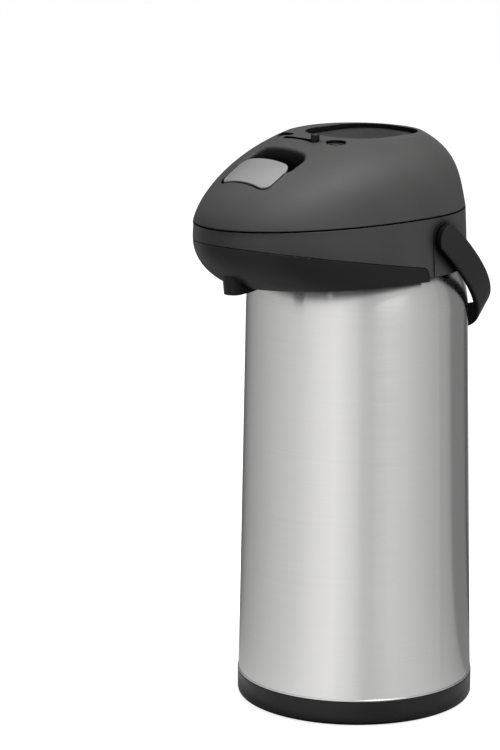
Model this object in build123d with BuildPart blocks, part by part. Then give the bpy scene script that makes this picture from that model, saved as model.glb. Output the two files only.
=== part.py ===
from build123d import *
import math
import os

# Airpot: a vacuum flask in a steel jacket with a pump lid. Millimetres.
# The origin is on the jacket's axis at the table, the spout points to -Y and +Z is up.

os.makedirs("parts", exist_ok=True)

# Fits and gaps
seam_gap = 0.4            # dark groove between two mouldings
moving_gap = 0.4          # air between two bodies that move past each other
running_fit = 0.06        # radial clearance of a pin in its bearing
screw_fit = 0.1           # radial clearance of a screw's shank

# Base and swivel foot
base_radius = 83.5
base_height = 18.0
base_edge_radius = 3.5
base_lift = 0.6           # the base ring hangs this far above the table
base_floor_bottom = 6.0
base_floor_thickness = 3.0
spigot_height = 9.0       # the base reaches this far up inside the jacket
spigot_wall = 2.6
turntable_inset = 12.5    # from the base's outside to the turntable's rim
turntable_bottom = 1.4
hub_radius = 14.0
hub_skin = 1.2
foot_inset = 5.0          # from the turntable's rim to the rubber ring
foot_width = 7.0
foot_groove_depth = 1.0
swivel_pin_radius = 5.0
swivel_head_radius = 9.0
swivel_head_height = 2.6

# Steel jacket
base_lip = 0.6            # the base ring stands out this far past the jacket
jacket_taper = 5.3        # the jacket narrows by this from foot to shoulder
jacket_shoulder_drop = 29.0 # the jacket's wall ends this far under the collar
jacket_shoulder_arc = 60.0
jacket_shoulder_sweep = 29.0
jacket_wall = 0.6

# Glass flask: an outer and an inner bottle, fused at the lip
flask_gap = 3.0           # air between jacket and flask
flask_wall = 2.2
flask_bottom = 17.0
flask_vacuum_gap = 3.4
flask_shoulder_drop = 26.0 # the flask's wall ends this far under the jacket's
flask_shoulder_rise = 24.0
flask_neck_radius = 37.0
flask_lip_thickness = 2.0
flask_bottom_corner = 30.0
flask_shoulder_corner = 26.0
flask_neck_corner = 9.0
flask_neck_gap = 1.6
flask_pip_radius = 3.5
flask_pip_length = 3.0
cushion_outer_radius = 42.0
cushion_inner_radius = 22.0

# Head: collar below, dome above, meeting at the seam
seam_height = 353.0
lid_seam_gap = 1.1        # the wider groove between collar and lid
head_step = 2.6           # the head is this much narrower than the jacket's shoulder
nose_reach = 141.2        # from the axis to the tip of the nose
head_draft = 1.7          # how much wider the collar is at its lower edge
collar_height = 40.0      # from the collar's lower edge to the seam
collar_wall = 2.5
nose_upright = 10.0       # the nose starts to curve under this far below the seam
nose_steps = 6
nose_curve_drop = 54.6    # vertical half axis of the nose's elliptic underside
hood_hang = 2.6           # the hood ends this far below the collar
hood_floor_thickness = 2.5
hood_line_front_drop = 9.8
hood_line_slope = 0.178   # the hood's seam falls towards the rear
hood_line_end_reach = 10.5 # the seam turns down this far in front of the axis
hood_line_foot_reach = 8.3
hood_line_corner = 6.0
deck_drop = 9.5           # the deck lies this far below the seam
deck_thickness = 2.5
seat_lip_width = 3.0
seat_lip_height = 3.0

# Throat: the well in the collar over the flask's mouth
throat_floor_drop = 8.0   # the throat's floor lies this far below the collar's edge
neck_gasket_thickness = 3.0
throat_floor_thickness = 3.0
throat_mouth_radius = 31.0
throat_radius = 39.0
throat_wall = 2.5
throat_seat_drop = 14.0   # the gasket's seat lies this far below the deck
throat_upper_radius = 45.0
neck_gasket_skirt = 6.0

# Delivery line
pipe_drop = 10.3          # the pipe lies this far below the gasket's seat
pipe_radius = 5.2
pipe_bore = 3.8
pipe_bend = 7.5
elbow_radius = 6.0
elbow_reach = 46.0
socket_radius = 7.6
socket_length = 5.0       # the socket hangs this far below the throat's floor
riser_radius = 4.8
riser_bore = 3.6
riser_bottom = 30.0
riser_insertion = 14.0
holder_ring_width = 5.5
holder_thickness = 2.5
holder_bar_width = 9.0
pipe_seal_length = 4.0
pipe_seal_wall = 1.4
spout_setback = 20.7      # the spout's axis from the tip of the nose
spout_tip_radius = 6.6
spout_root_radius = 8.4
spout_length = 3.5        # the spout's tip hangs this far below the hood
spout_root_rise = 16.6    # the stub reaches up this far inside the hood
fairing_length = 28.5     # from the spout's axis back to the end of the fairing
fairing_tail_radius = 7.5

# Dome of the lid
dome_apex_rise = 63.5     # from the seam to where the dome's profile would close
dome_rise = 53.0          # from the seam to the top of the shell before it is levelled
dome_shares = [0.095, 0.2, 0.33, 0.46, 0.59, 0.71, 0.81, 0.885, 0.945]
top_front_drop = 0.8      # the levelled top lies this far below dome_rise at the lock
top_rear_drop = 2.2       # and this far below it at the rear of the button's well
dome_width_draft = 11.7
dome_width_power = 4.0
dome_width_root = 1.456
dome_nose_draft = 14.4
dome_nose_power = 1.864
dome_nose_root = 1.51
dome_wall = 2.6
dome_roof = 3.0
lid_plate_thickness = 2.4

# Pump
button_well_side_land = 42.0 # from the well to the head's side at the seam
button_well_half_length = 37.5
button_well_centre = 3.5
button_well_corner = 26.0
button_well_wall = 2.2
button_well_depth = 38.0
button_drop = 5.0         # the button's rim lies this far below the shell's top
button_plate = 3.0
button_skirt = 18.0
button_skirt_wall = 2.0
button_dish_depth = 4.0
button_dish_radius = 74.0
button_stroke = 26.0
bellows_radius = 30.0
bellows_wall = 1.2
bellows_fold_depth = 6.0
bellows_folds = 9
bellows_collar = 4.0
cup_radius = 36.4
cup_wall = 2.0
cup_floor = 2.4
cup_flange_radius = 42.0
lid_gasket_thickness = 2.6
lid_gasket_width = 5.0
valve_radius = 7.0
valve_port_radius = 2.4
valve_port_ring = 4.6
spring_radius = 15.0
spring_wire = 0.9
spring_turns = 8

# Lid hinge
hinge_standoff = 5.2      # the pin's axis lies this far behind the head
hinge_knuckle_radius = 4.2
hinge_pin_radius = 1.6
hinge_lid_half_width = 9.5
hinge_half_width = 19.0
hinge_web_height = 3.6

# Latch and finger pocket in the nose
latch_half_width = 22.0
latch_front_place = 0.7305 # places along the nose: 0 at the button's well, 1 at the tip
latch_rear_place = 0.494
latch_thickness = 3.0
latch_edge_radius = 0.8
latch_corner = 7.0
latch_front_gap = 1.8
latch_side_gap = 0.9
pocket_rear_place = 0.355
pocket_lip_radius = 2.5
pocket_wall = 2.0
pocket_depth = 38.0       # the pocket's floor below the shell's top
latch_pivot_setback = 2.5 # the latch pin behind the plate's front edge
latch_pivot_rise = 22.6   # the latch pin above the seam
latch_pin_radius = 1.4
latch_lug_radius = 3.2
latch_lug_offset = 17.0
latch_lug_thickness = 3.0
latch_arm_width = 16.0
latch_arm_thickness = 3.0
latch_arm_reach = 3.0     # the arm's hook below the deck's underside
latch_slot_margin = 1.0
latch_slot_length = 17.3
latch_spring_radius = 2.3
latch_spring_wire = 0.5
latch_spring_turns = 3

# Lock slider on the dome's top
lock_place = 0.205
lock_plate_drop = 6.4     # the slider's plate lies this far under the roof
lock_slot_half_length = 16.2
lock_slot_width = 6.4
lock_travel = 26.0
lock_knob_width = 4.6
lock_knob_length = 5.6
lock_knob_rise = 4.0      # the knob stands this far above the shell's top
lock_plate_length = 11.0
lock_plate_width = 12.0
lock_plate_thickness = 1.6
lock_guide_wall = 1.6
mark_radius = 7.0
mark_offset = 24.8
mark_setback = 8.0        # the marks behind the lock's slot
mark_drop = 2.9           # the marks' floor below the shell's top

# Bail handle and its brackets
bail_pivot_rear = 6.0     # pivot axis behind the jacket's axis
bail_pivot_drop = 14.7    # pivot axis below the seam
bail_clearance = 3.3      # air between the head and the bail
bail_overhang = 44.0      # the bail reaches this far beyond the head's half width
bail_drop_angle = 41.0    # the bail hangs this far below horizontal
bail_thickness = 4.0
bail_strap_half_width = 9.8
bail_lobe_radius = 10.4
bail_edge_radius = 1.5
bracket_radius = 10.7
bracket_rise = 0.7        # the bracket's face stands this far proud of the collar
bracket_depth = 5.2       # the bracket's plate from the head's half width inwards
bracket_flange_thickness = 2.0
bracket_flange_margin = 1.8
bail_pin_radius = 4.2
bail_pin_skin = 1.0       # arm left outside the pin's end

# Screws
screw_radius = 1.6
screw_head_radius = 3.2
screw_head_height = 2.2
hood_post_radius = 4.6
hood_screw_offset = 40.0
hood_screw_reach = 80.0
hood_screw_length = 17.0
lid_post_radius = 4.2
lid_screw_offset = 52.0
lid_screw_front_reach = 32.0
lid_screw_rear_reach = 27.0
lid_screw_length = 14.0

# Sizes worked out from the ones above
turntable_radius = base_radius - turntable_inset
foot_outer_radius = turntable_radius - foot_inset
foot_inner_radius = foot_outer_radius - foot_width
jacket_foot_radius = base_radius - base_lip
jacket_shoulder_radius = jacket_foot_radius - jacket_taper
head_half_width = jacket_shoulder_radius - head_step
collar_bottom = seam_height - collar_height
jacket_shoulder_height = collar_bottom - jacket_shoulder_drop
flask_radius = jacket_shoulder_radius - jacket_wall - flask_gap
flask_shoulder_height = jacket_shoulder_height - flask_shoulder_drop
nose_curve_height = seam_height - nose_upright
hood_bottom = collar_bottom - hood_hang
deck_top = seam_height - deck_drop
throat_floor_bottom = collar_bottom - throat_floor_drop
flask_lip_height = throat_floor_bottom - neck_gasket_thickness
throat_seat_height = deck_top - throat_seat_drop
pipe_height = throat_seat_height - pipe_drop
socket_bottom = throat_floor_bottom - socket_length
riser_top = socket_bottom + riser_insertion
spout_bottom = hood_bottom - spout_length
spout_root_height = hood_bottom + spout_root_rise
dome_apex = seam_height + dome_apex_rise
dome_top = seam_height + dome_rise
spout_reach = nose_reach - spout_setback
fairing_tail_reach = spout_reach - fairing_length
well_front_reach = button_well_half_length - button_well_centre
nose_deck = nose_reach - well_front_reach
lock_reach = well_front_reach + lock_place * nose_deck
pocket_rear_reach = well_front_reach + pocket_rear_place * nose_deck
latch_rear_reach = well_front_reach + latch_rear_place * nose_deck
latch_front_reach = well_front_reach + latch_front_place * nose_deck
latch_pivot_reach = latch_front_reach - latch_pivot_setback
mark_reach = lock_reach - mark_setback
button_well_half_width = head_half_width - button_well_side_land
button_well_bottom = dome_top - button_well_depth
button_top = dome_top - button_drop
hinge_reach = head_half_width + hinge_standoff
pocket_floor = dome_top - pocket_depth
latch_pivot_height = seam_height + latch_pivot_rise
lock_knob_top = dome_top + lock_knob_rise
mark_height = dome_top - mark_drop
bail_pivot_height = seam_height - bail_pivot_drop
bail_half_width = head_half_width + bail_clearance + bail_thickness
bail_length = head_half_width + bail_overhang
bracket_inner_face = head_half_width - bracket_depth
base_floor_top = base_floor_bottom + base_floor_thickness
throat_floor_top = throat_floor_bottom + throat_floor_thickness
deck_bottom = deck_top - deck_thickness
well_rear_reach = button_well_centre + button_well_half_length
cup_bottom = throat_seat_height + moving_gap + lid_gasket_thickness
cup_inside = cup_bottom + cup_floor
lid_plate_bottom = seam_height + lid_seam_gap
lid_plate_top = lid_plate_bottom + lid_plate_thickness
plate_underside = button_top - button_dish_depth - button_plate
bellows_top = plate_underside - moving_gap
latch_slot_front_reach = latch_front_reach + latch_slot_margin
latch_arm_bottom = deck_bottom - latch_arm_reach
inner_radius = flask_radius - flask_wall - flask_vacuum_gap
inner_neck_radius = flask_neck_radius - flask_wall - flask_neck_gap


def collar_half_width(height):
    """Half width of the collar and hood, and their rear radius, at a height."""
    return head_half_width + head_draft * (seam_height - height) / (seam_height - collar_bottom)


def collar_nose(height):
    """Reach of the nose below the seam: upright, then an ellipse curving under."""
    drop = max(nose_curve_height - height, 0.0) / nose_curve_drop
    return nose_reach * math.sqrt(1 - drop**2)


def dome_half_width(height):
    """Half width of the dome, and its rear radius, at a height."""
    rise = (height - seam_height) / (dome_apex - seam_height)
    draft = head_half_width - dome_width_draft * rise
    return draft * (1 - rise**dome_width_power) ** (1 / dome_width_root)


def dome_nose(height):
    """Reach of the dome's nose at a height."""
    rise = (height - seam_height) / (dome_apex - seam_height)
    draft = nose_reach - dome_nose_draft * rise
    return draft * (1 - rise**dome_nose_power) ** (1 / dome_nose_root)


def egg(half_width, nose):
    """Plan outline of the head: a rear half circle and a front half ellipse."""
    with BuildSketch() as outline:
        with BuildLine():
            CenterArc((0, 0), half_width, 0, 180)
            EllipticalCenterArc((0, 0), half_width, nose, 180, arc_size=180)
        make_face()
    return outline.sketch


def hood_seam(shift):
    """Side view of the line between collar and hood, moved down by shift."""
    slope_top = seam_height - hood_line_front_drop - shift
    line_front = (-1.5 * nose_reach, slope_top + hood_line_slope * 0.5 * nose_reach)
    line_end = (
        -hood_line_end_reach - shift,
        slope_top - hood_line_slope * (nose_reach - hood_line_end_reach),
    )
    return line_front, line_end, (-hood_line_foot_reach - shift, collar_bottom - 1)


def bottle(radius, bottom, shoulder, rise, neck, top, corners):
    """Half section of a bottle, to be turned about Z."""
    with BuildSketch() as section:
        with BuildLine():
            FilletPolyline(
                (0, bottom),
                (radius, bottom),
                (radius, shoulder),
                (neck, shoulder + rise),
                (neck, top),
                radius=corners,
            )
            Polyline((neck, top), (0, top), (0, bottom))
        make_face()
    return section.sketch


# Swivel foot: a rubber ring in a turntable that the pot turns on
with BuildPart() as foot_ring:
    with BuildSketch():
        Circle(foot_outer_radius)
        Circle(foot_inner_radius, mode=Mode.SUBTRACT)
    extrude(amount=turntable_bottom + foot_groove_depth)

turntable_top = base_floor_bottom - moving_gap
with BuildPart() as turntable:
    with BuildSketch(Plane.XY.offset(turntable_bottom)):
        Circle(turntable_radius)
    extrude(amount=turntable_top - turntable_bottom)
    with BuildSketch():
        Circle(hub_radius)
    extrude(amount=turntable_top)
    with BuildSketch(Plane.XY.offset(turntable_bottom)):
        Circle(foot_outer_radius)
        Circle(foot_inner_radius, mode=Mode.SUBTRACT)
    extrude(amount=foot_groove_depth, mode=Mode.SUBTRACT)
    with BuildSketch(Plane.XY.offset(hub_skin)):
        Circle(swivel_pin_radius)
    extrude(amount=turntable_top, mode=Mode.SUBTRACT)

swivel_head_bottom = base_floor_top + moving_gap
with BuildPart() as swivel_pin:
    with BuildSketch(Plane.XY.offset(hub_skin)):
        Circle(swivel_pin_radius)
    extrude(amount=swivel_head_bottom - hub_skin)
    with BuildSketch(Plane.XY.offset(swivel_head_bottom)):
        Circle(swivel_head_radius)
    extrude(amount=swivel_head_height)
    chamfer(swivel_pin.faces().sort_by(Axis.Z)[-1].edges(), 0.6)

# Base ring and floor in one moulding
jacket_foot_inside = jacket_foot_radius - jacket_wall
with BuildPart() as base_cup:
    with BuildSketch(Plane.XZ):
        with BuildLine():
            FilletPolyline(
                (turntable_radius + 1.5, base_lift),
                (base_radius, base_lift),
                (base_radius, base_height),
                radius=base_edge_radius,
            )
            Polyline(
                (base_radius, base_height),
                (jacket_foot_inside, base_height),
                (jacket_foot_inside - 0.25, base_height + spigot_height),
                (jacket_foot_inside - spigot_wall, base_height + spigot_height),
                (jacket_foot_inside - spigot_wall, base_floor_top),
                (swivel_pin_radius + running_fit, base_floor_top),
                (swivel_pin_radius + running_fit, base_floor_bottom),
                (turntable_radius + 1.5, base_floor_bottom),
                (turntable_radius + 1.5, base_lift),
            )
        make_face()
    revolve(axis=Axis.Z)

# Steel jacket: a thin cone with a rounded shoulder
wall_tangent = (
    jacket_shoulder_radius - jacket_foot_radius,
    jacket_shoulder_height - base_height,
)
with BuildPart() as steel_jacket:
    with BuildSketch(Plane.XZ):
        with BuildLine():
            outer_wall = Line(
                (jacket_foot_radius, base_height),
                (jacket_shoulder_radius, jacket_shoulder_height),
            )
            outer_arc = JernArc(
                outer_wall @ 1, wall_tangent, jacket_shoulder_arc, jacket_shoulder_sweep
            )
            inner_wall = Line(
                (jacket_foot_inside, base_height),
                (jacket_shoulder_radius - jacket_wall, jacket_shoulder_height),
            )
            inner_arc = JernArc(
                inner_wall @ 1,
                wall_tangent,
                jacket_shoulder_arc - jacket_wall,
                jacket_shoulder_sweep,
            )
            Line(outer_wall @ 0, inner_wall @ 0)
            Line(outer_arc @ 1, inner_arc @ 1)
        make_face()
    revolve(axis=Axis.Z)

# Glass flask
outer_corners = [flask_bottom_corner, flask_shoulder_corner, flask_neck_corner]
outer_lip = flask_lip_height - flask_lip_thickness
with BuildPart() as flask_outer_glass:
    with BuildSketch(Plane.XZ):
        add(
            bottle(
                flask_radius,
                flask_bottom,
                flask_shoulder_height,
                flask_shoulder_rise,
                flask_neck_radius,
                outer_lip,
                outer_corners,
            )
        )
    revolve(axis=Axis.Z)
    with BuildSketch(Plane.XY.offset(flask_bottom - flask_pip_length)):
        Circle(flask_pip_radius)
    extrude(amount=flask_pip_length + flask_wall / 2)
    with BuildSketch(Plane.XZ):
        add(
            bottle(
                flask_radius - flask_wall,
                flask_bottom + flask_wall,
                flask_shoulder_height,
                flask_shoulder_rise - flask_wall,
                flask_neck_radius - flask_wall,
                outer_lip + 1,
                outer_corners,
            )
        )
    revolve(axis=Axis.Z, mode=Mode.SUBTRACT)

inner_bottom = flask_bottom + flask_wall + flask_vacuum_gap
with BuildPart() as flask_inner_glass:
    with BuildSketch(Plane.XZ):
        add(
            bottle(
                inner_radius,
                inner_bottom,
                flask_shoulder_height - flask_vacuum_gap,
                flask_shoulder_rise - flask_wall,
                inner_neck_radius,
                flask_lip_height,
                outer_corners,
            )
        )
    revolve(axis=Axis.Z)
    with BuildSketch(Plane.XY.offset(outer_lip)):
        Circle(flask_neck_radius)
    extrude(amount=flask_lip_thickness)
    with BuildSketch(Plane.XZ):
        add(
            bottle(
                inner_radius - flask_wall,
                inner_bottom + flask_wall,
                flask_shoulder_height - flask_vacuum_gap,
                flask_shoulder_rise - 2 * flask_wall,
                inner_neck_radius - flask_wall,
                flask_lip_height + 1,
                outer_corners,
            )
        )
    revolve(axis=Axis.Z, mode=Mode.SUBTRACT)

with BuildPart() as flask_cushion:
    with BuildSketch(Plane.XY.offset(base_floor_top)):
        Circle(cushion_outer_radius)
        Circle(cushion_inner_radius, mode=Mode.SUBTRACT)
    extrude(amount=flask_bottom - base_floor_top)
    chamfer(flask_cushion.edges().filter_by(GeomType.CIRCLE).sort_by(Axis.Z)[-1], 1)

skirt_radius = flask_neck_radius + 0.2
with BuildPart() as neck_gasket:
    with BuildSketch(Plane.XY.offset(flask_lip_height)):
        Circle(skirt_radius + 2)
        Circle(inner_neck_radius - flask_wall, mode=Mode.SUBTRACT)
    extrude(amount=neck_gasket_thickness)
    with BuildSketch(Plane.XY.offset(flask_lip_height - neck_gasket_skirt)):
        Circle(skirt_radius + 2)
        Circle(skirt_radius, mode=Mode.SUBTRACT)
    extrude(amount=neck_gasket_skirt)

# Outer form of the collar and hood together, and the space inside it
nose_step = (nose_curve_height - hood_bottom) / nose_steps
collar_levels = [seam_height]
for step in range(nose_steps + 1):
    collar_levels.append(nose_curve_height - step * nose_step)

with BuildPart() as lower_head_form:
    for level in collar_levels:
        with BuildSketch(Plane.XY.offset(level)):
            add(egg(collar_half_width(level), collar_nose(level)))
    loft()

with BuildPart() as lower_head_space:
    for level in collar_levels:
        with BuildSketch(Plane.XY.offset(level)):
            add(egg(collar_half_width(level) - collar_wall, collar_nose(level) - collar_wall))
    loft()

# Side-view zones that part the collar from the hood
far_rear = 1.5 * head_half_width
far_front = -1.5 * nose_reach
side_reach = 1.3 * head_half_width
with BuildPart() as collar_zone:
    with BuildSketch(Plane.YZ):
        with BuildLine():
            seam_front, seam_end, seam_foot = hood_seam(0)
            seam = FilletPolyline(seam_front, seam_end, seam_foot, radius=hood_line_corner)
            Polyline(
                seam @ 1,
                (-hood_line_foot_reach, collar_bottom),
                (far_rear, collar_bottom),
                (far_rear, seam_height),
                (far_front, seam_height),
                seam @ 0,
            )
        make_face()
    extrude(amount=side_reach, both=True)

with BuildPart() as hood_zone:
    with BuildSketch(Plane.YZ):
        with BuildLine():
            seam_front, seam_end, seam_foot = hood_seam(seam_gap)
            seam = FilletPolyline(seam_front, seam_end, seam_foot, radius=hood_line_corner)
            Polyline(
                seam @ 1,
                (-hood_line_foot_reach - seam_gap, hood_bottom),
                (far_front, hood_bottom),
                seam @ 0,
            )
        make_face()
    extrude(amount=side_reach, both=True)

# Bracket opening on each side: a tombstone seen from the side
bail_axis_y = bail_pivot_rear
with BuildPart() as bracket_openings:
    with BuildSketch(Plane.YZ):
        with Locations((bail_axis_y, bail_pivot_height)):
            Circle(bracket_radius + 0.15)
        with Locations((bail_axis_y, (bail_pivot_height + collar_bottom) / 2)):
            Rectangle(2 * bracket_radius + 0.3, bail_pivot_height - collar_bottom + 0.2)
    extrude(amount=side_reach, both=True)
    with BuildSketch(Plane.YZ):
        Rectangle(4 * head_half_width, 4 * seam_height)
    extrude(
        amount=bracket_inner_face - bracket_flange_thickness - moving_gap,
        both=True,
        mode=Mode.SUBTRACT,
    )

# Collar: wall, deck, throat over the flask, seat on the jacket's shoulder
throat_outer_radius = throat_radius + throat_wall
throat_upper_outer = throat_upper_radius + throat_wall
with BuildPart() as collar:
    add(lower_head_form.part)
    add(lower_head_space.part, mode=Mode.SUBTRACT)
    with BuildSketch(Plane.XY.offset(deck_bottom)):
        add(egg(collar_half_width(deck_top) - 1, collar_nose(deck_top) - 1))
    extrude(amount=deck_thickness)
    with BuildSketch(Plane.XY.offset(collar_bottom)):
        Circle(collar_half_width(collar_bottom) - 1)
        Circle(head_half_width - collar_wall - seat_lip_width, mode=Mode.SUBTRACT)
    extrude(amount=seat_lip_height)
    add(collar_zone.part, mode=Mode.INTERSECT)
    with BuildSketch(Plane.XY.offset(throat_floor_bottom)):
        Circle(throat_outer_radius)
    extrude(amount=throat_seat_height - throat_floor_bottom)
    with BuildSketch(Plane.XY.offset(throat_seat_height - throat_wall)):
        Circle(throat_upper_outer)
    extrude(amount=deck_top - throat_seat_height + throat_wall)
    with BuildSketch(Plane.XY.offset(throat_floor_top)):
        Circle(throat_radius)
    extrude(amount=seam_height, mode=Mode.SUBTRACT)
    with BuildSketch(Plane.XY.offset(throat_seat_height)):
        Circle(throat_upper_radius)
    extrude(amount=seam_height, mode=Mode.SUBTRACT)
    with BuildSketch(Plane.XY.offset(throat_floor_bottom)):
        Circle(throat_mouth_radius)
    extrude(amount=throat_floor_thickness, mode=Mode.SUBTRACT)
    # bore for the delivery elbow through the throat's front wall
    with BuildSketch(Plane.XZ.offset(throat_radius - 3)):
        with Locations((0, pipe_height)):
            Circle(elbow_radius + screw_fit)
    extrude(amount=throat_wall + 6, mode=Mode.SUBTRACT)
    # latch slot in the deck
    latch_slot_middle = latch_slot_length / 2 - latch_slot_front_reach
    with BuildSketch(Plane.XY.offset(deck_bottom)):
        with Locations((0, latch_slot_middle)):
            Rectangle(latch_arm_width + 2 * latch_slot_margin, latch_slot_length)
    extrude(amount=deck_thickness, mode=Mode.SUBTRACT)
    # posts for the hood's screws
    with BuildSketch(Plane.XY.offset(hood_bottom + hood_floor_thickness + 3)):
        with Locations(
            (hood_screw_offset, -hood_screw_reach), (-hood_screw_offset, -hood_screw_reach)
        ):
            Circle(hood_post_radius)
    extrude(until=Until.NEXT)
    with BuildSketch(Plane.XY.offset(hood_bottom)):
        with Locations(
            (hood_screw_offset, -hood_screw_reach), (-hood_screw_offset, -hood_screw_reach)
        ):
            Circle(screw_radius)
    extrude(amount=hood_screw_length + 4, mode=Mode.SUBTRACT)
    # bracket openings
    add(bracket_openings.part, mode=Mode.SUBTRACT)
    # hinge knuckles at the rear rim
    collar_web = hinge_standoff + 0.8 * collar_wall
    for side in (1, -1):
        middle = side * (hinge_half_width + hinge_lid_half_width + 0.3) / 2
        width = hinge_half_width - hinge_lid_half_width - 0.3
        with BuildSketch(Plane.YZ.offset(middle)):
            with Locations((hinge_reach, seam_height)):
                Circle(hinge_knuckle_radius)
            with Locations(
                (hinge_reach - collar_web / 2, seam_height - hinge_web_height / 2 - seam_gap)
            ):
                Rectangle(collar_web, hinge_web_height)
        extrude(amount=width / 2, both=True)
    with BuildSketch(Plane.YZ):
        with Locations((hinge_reach, seam_height)):
            Circle(hinge_pin_radius)
    extrude(amount=hinge_half_width + 1, both=True, mode=Mode.SUBTRACT)

# Spout hood: the shell under the nose, with the spout's stub
with BuildPart() as spout_form:
    with BuildSketch(Plane.XY.offset(spout_bottom)):
        with Locations((0, -spout_reach)):
            Circle(spout_tip_radius)
    with BuildSketch(Plane.XY.offset(spout_root_height)):
        with Locations((0, -spout_reach)):
            Circle(spout_root_radius)
    loft()

with BuildPart() as fairing_form:
    with BuildSketch(Plane.XY.offset(spout_bottom)):
        with Locations((0, -spout_reach)):
            Circle(spout_tip_radius)
        with Locations((0, -fairing_tail_reach - fairing_tail_radius)):
            Circle(fairing_tail_radius)
        make_hull()
    extrude(amount=hood_bottom + hood_floor_thickness - spout_bottom)
    with BuildSketch(Plane.YZ):
        with BuildLine():
            Polyline(
                (-spout_reach, spout_bottom - 1),
                (-spout_reach, spout_bottom + 0.3),
                (-spout_reach + spout_tip_radius, spout_bottom + 0.3),
                (-fairing_tail_reach, hood_bottom + 0.2),
                (0, hood_bottom + 0.2),
                (0, spout_bottom - 1),
                close=True,
            )
        make_face()
    extrude(amount=2 * spout_root_radius, both=True, mode=Mode.SUBTRACT)

with BuildPart() as spout_hood:
    add(lower_head_form.part)
    add(lower_head_space.part, mode=Mode.SUBTRACT)
    with BuildSketch(Plane.XY.offset(hood_bottom)):
        add(egg(collar_half_width(hood_bottom) - 1, collar_nose(hood_bottom) - 1))
        Circle(head_half_width - collar_wall, mode=Mode.SUBTRACT)
    extrude(amount=hood_floor_thickness)
    add(hood_zone.part, mode=Mode.INTERSECT)
    add(spout_form.part)
    add(fairing_form.part)
    with BuildSketch(Plane.XY.offset(hood_bottom)):
        with Locations(
            (hood_screw_offset, -hood_screw_reach), (-hood_screw_offset, -hood_screw_reach)
        ):
            Circle(hood_post_radius)
    extrude(amount=hood_floor_thickness + 3)
    with Locations(
        (hood_screw_offset, -hood_screw_reach, hood_bottom),
        (-hood_screw_offset, -hood_screw_reach, hood_bottom),
    ):
        Cylinder(
            screw_head_radius + screw_fit,
            screw_head_height + 0.6,
            align=(Align.CENTER, Align.CENTER, Align.MIN),
            mode=Mode.SUBTRACT,
        )
        Cylinder(
            screw_radius + screw_fit,
            hood_floor_thickness + 4,
            align=(Align.CENTER, Align.CENTER, Align.MIN),
            mode=Mode.SUBTRACT,
        )
    with BuildSketch(Plane.XY.offset(spout_bottom - 1)):
        with Locations((0, -spout_reach)):
            Circle(pipe_radius + screw_fit)
    extrude(amount=spout_root_height - spout_bottom + 2, mode=Mode.SUBTRACT)
    # room behind the stub for the pipe to come in level
    with BuildSketch(Plane.XZ.offset(spout_reach - spout_root_radius - 1)):
        with Locations((0, pipe_height + 1)):
            Rectangle(2 * pipe_radius + 0.6, 2 * pipe_bend + 4)
    extrude(amount=spout_root_radius + 1, mode=Mode.SUBTRACT)

with BuildPart() as hood_screws:
    with Locations(
        (hood_screw_offset, -hood_screw_reach, hood_bottom + 0.6),
        (-hood_screw_offset, -hood_screw_reach, hood_bottom + 0.6),
    ):
        Cylinder(
            screw_head_radius,
            screw_head_height,
            align=(Align.CENTER, Align.CENTER, Align.MIN),
        )
        Cylinder(
            screw_radius,
            hood_screw_length,
            align=(Align.CENTER, Align.CENTER, Align.MIN),
        )

# Delivery pipe: level from the throat to the nose, then down through the stub
pipe_start = -elbow_reach - 0.4
with BuildPart() as delivery_pipe:
    with BuildLine(Plane.YZ):
        FilletPolyline(
            (pipe_start, pipe_height),
            (-spout_reach, pipe_height),
            (-spout_reach, spout_bottom + 0.8),
            radius=pipe_bend,
        )
    with BuildSketch(Plane.XZ.offset(-pipe_start)):
        with Locations((0, pipe_height)):
            Circle(pipe_radius)
            Circle(pipe_bore, mode=Mode.SUBTRACT)
    sweep()

with BuildPart() as pipe_seal:
    with BuildSketch(Plane.XZ.offset(elbow_reach - pipe_seal_length)):
        with Locations((0, pipe_height)):
            Circle(elbow_radius + pipe_seal_wall)
            Circle(elbow_radius, mode=Mode.SUBTRACT)
    extrude(amount=pipe_seal_length)

# Riser: a tube down into the flask, hung from a spider in the throat
with BuildPart() as riser_holder:
    with BuildSketch(Plane.XY.offset(throat_floor_top)):
        Circle(throat_radius - 0.4)
        Circle(throat_radius - 0.4 - holder_ring_width, mode=Mode.SUBTRACT)
        Rectangle(2 * throat_radius - holder_ring_width, holder_bar_width)
    extrude(amount=holder_thickness)
    with BuildSketch(Plane.XY.offset(socket_bottom)):
        Circle(socket_radius)
    extrude(amount=pipe_height + elbow_radius + 1 - socket_bottom)
    with BuildSketch(Plane.XZ):
        with Locations((0, pipe_height)):
            Circle(elbow_radius)
    extrude(amount=elbow_reach)
    with BuildSketch(Plane.XZ.offset(-pipe_bore)):
        with Locations((0, pipe_height)):
            Circle(pipe_bore)
    extrude(amount=elbow_reach + pipe_bore, mode=Mode.SUBTRACT)
    with BuildSketch(Plane.XY.offset(socket_bottom)):
        Circle(riser_bore)
    extrude(amount=pipe_height - socket_bottom, mode=Mode.SUBTRACT)
    with BuildSketch(Plane.XY.offset(socket_bottom)):
        Circle(riser_radius)
    extrude(amount=riser_top - socket_bottom, mode=Mode.SUBTRACT)

with BuildPart() as riser_tube:
    with BuildSketch(Plane.XY.offset(riser_bottom)):
        Circle(riser_radius)
        Circle(riser_bore, mode=Mode.SUBTRACT)
    extrude(amount=riser_top - riser_bottom)

# Outer form of the dome and the space inside it
dome_levels = [lid_plate_bottom]
for share in dome_shares:
    dome_levels.append(seam_height + share * dome_rise)
dome_levels.append(dome_top)

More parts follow.
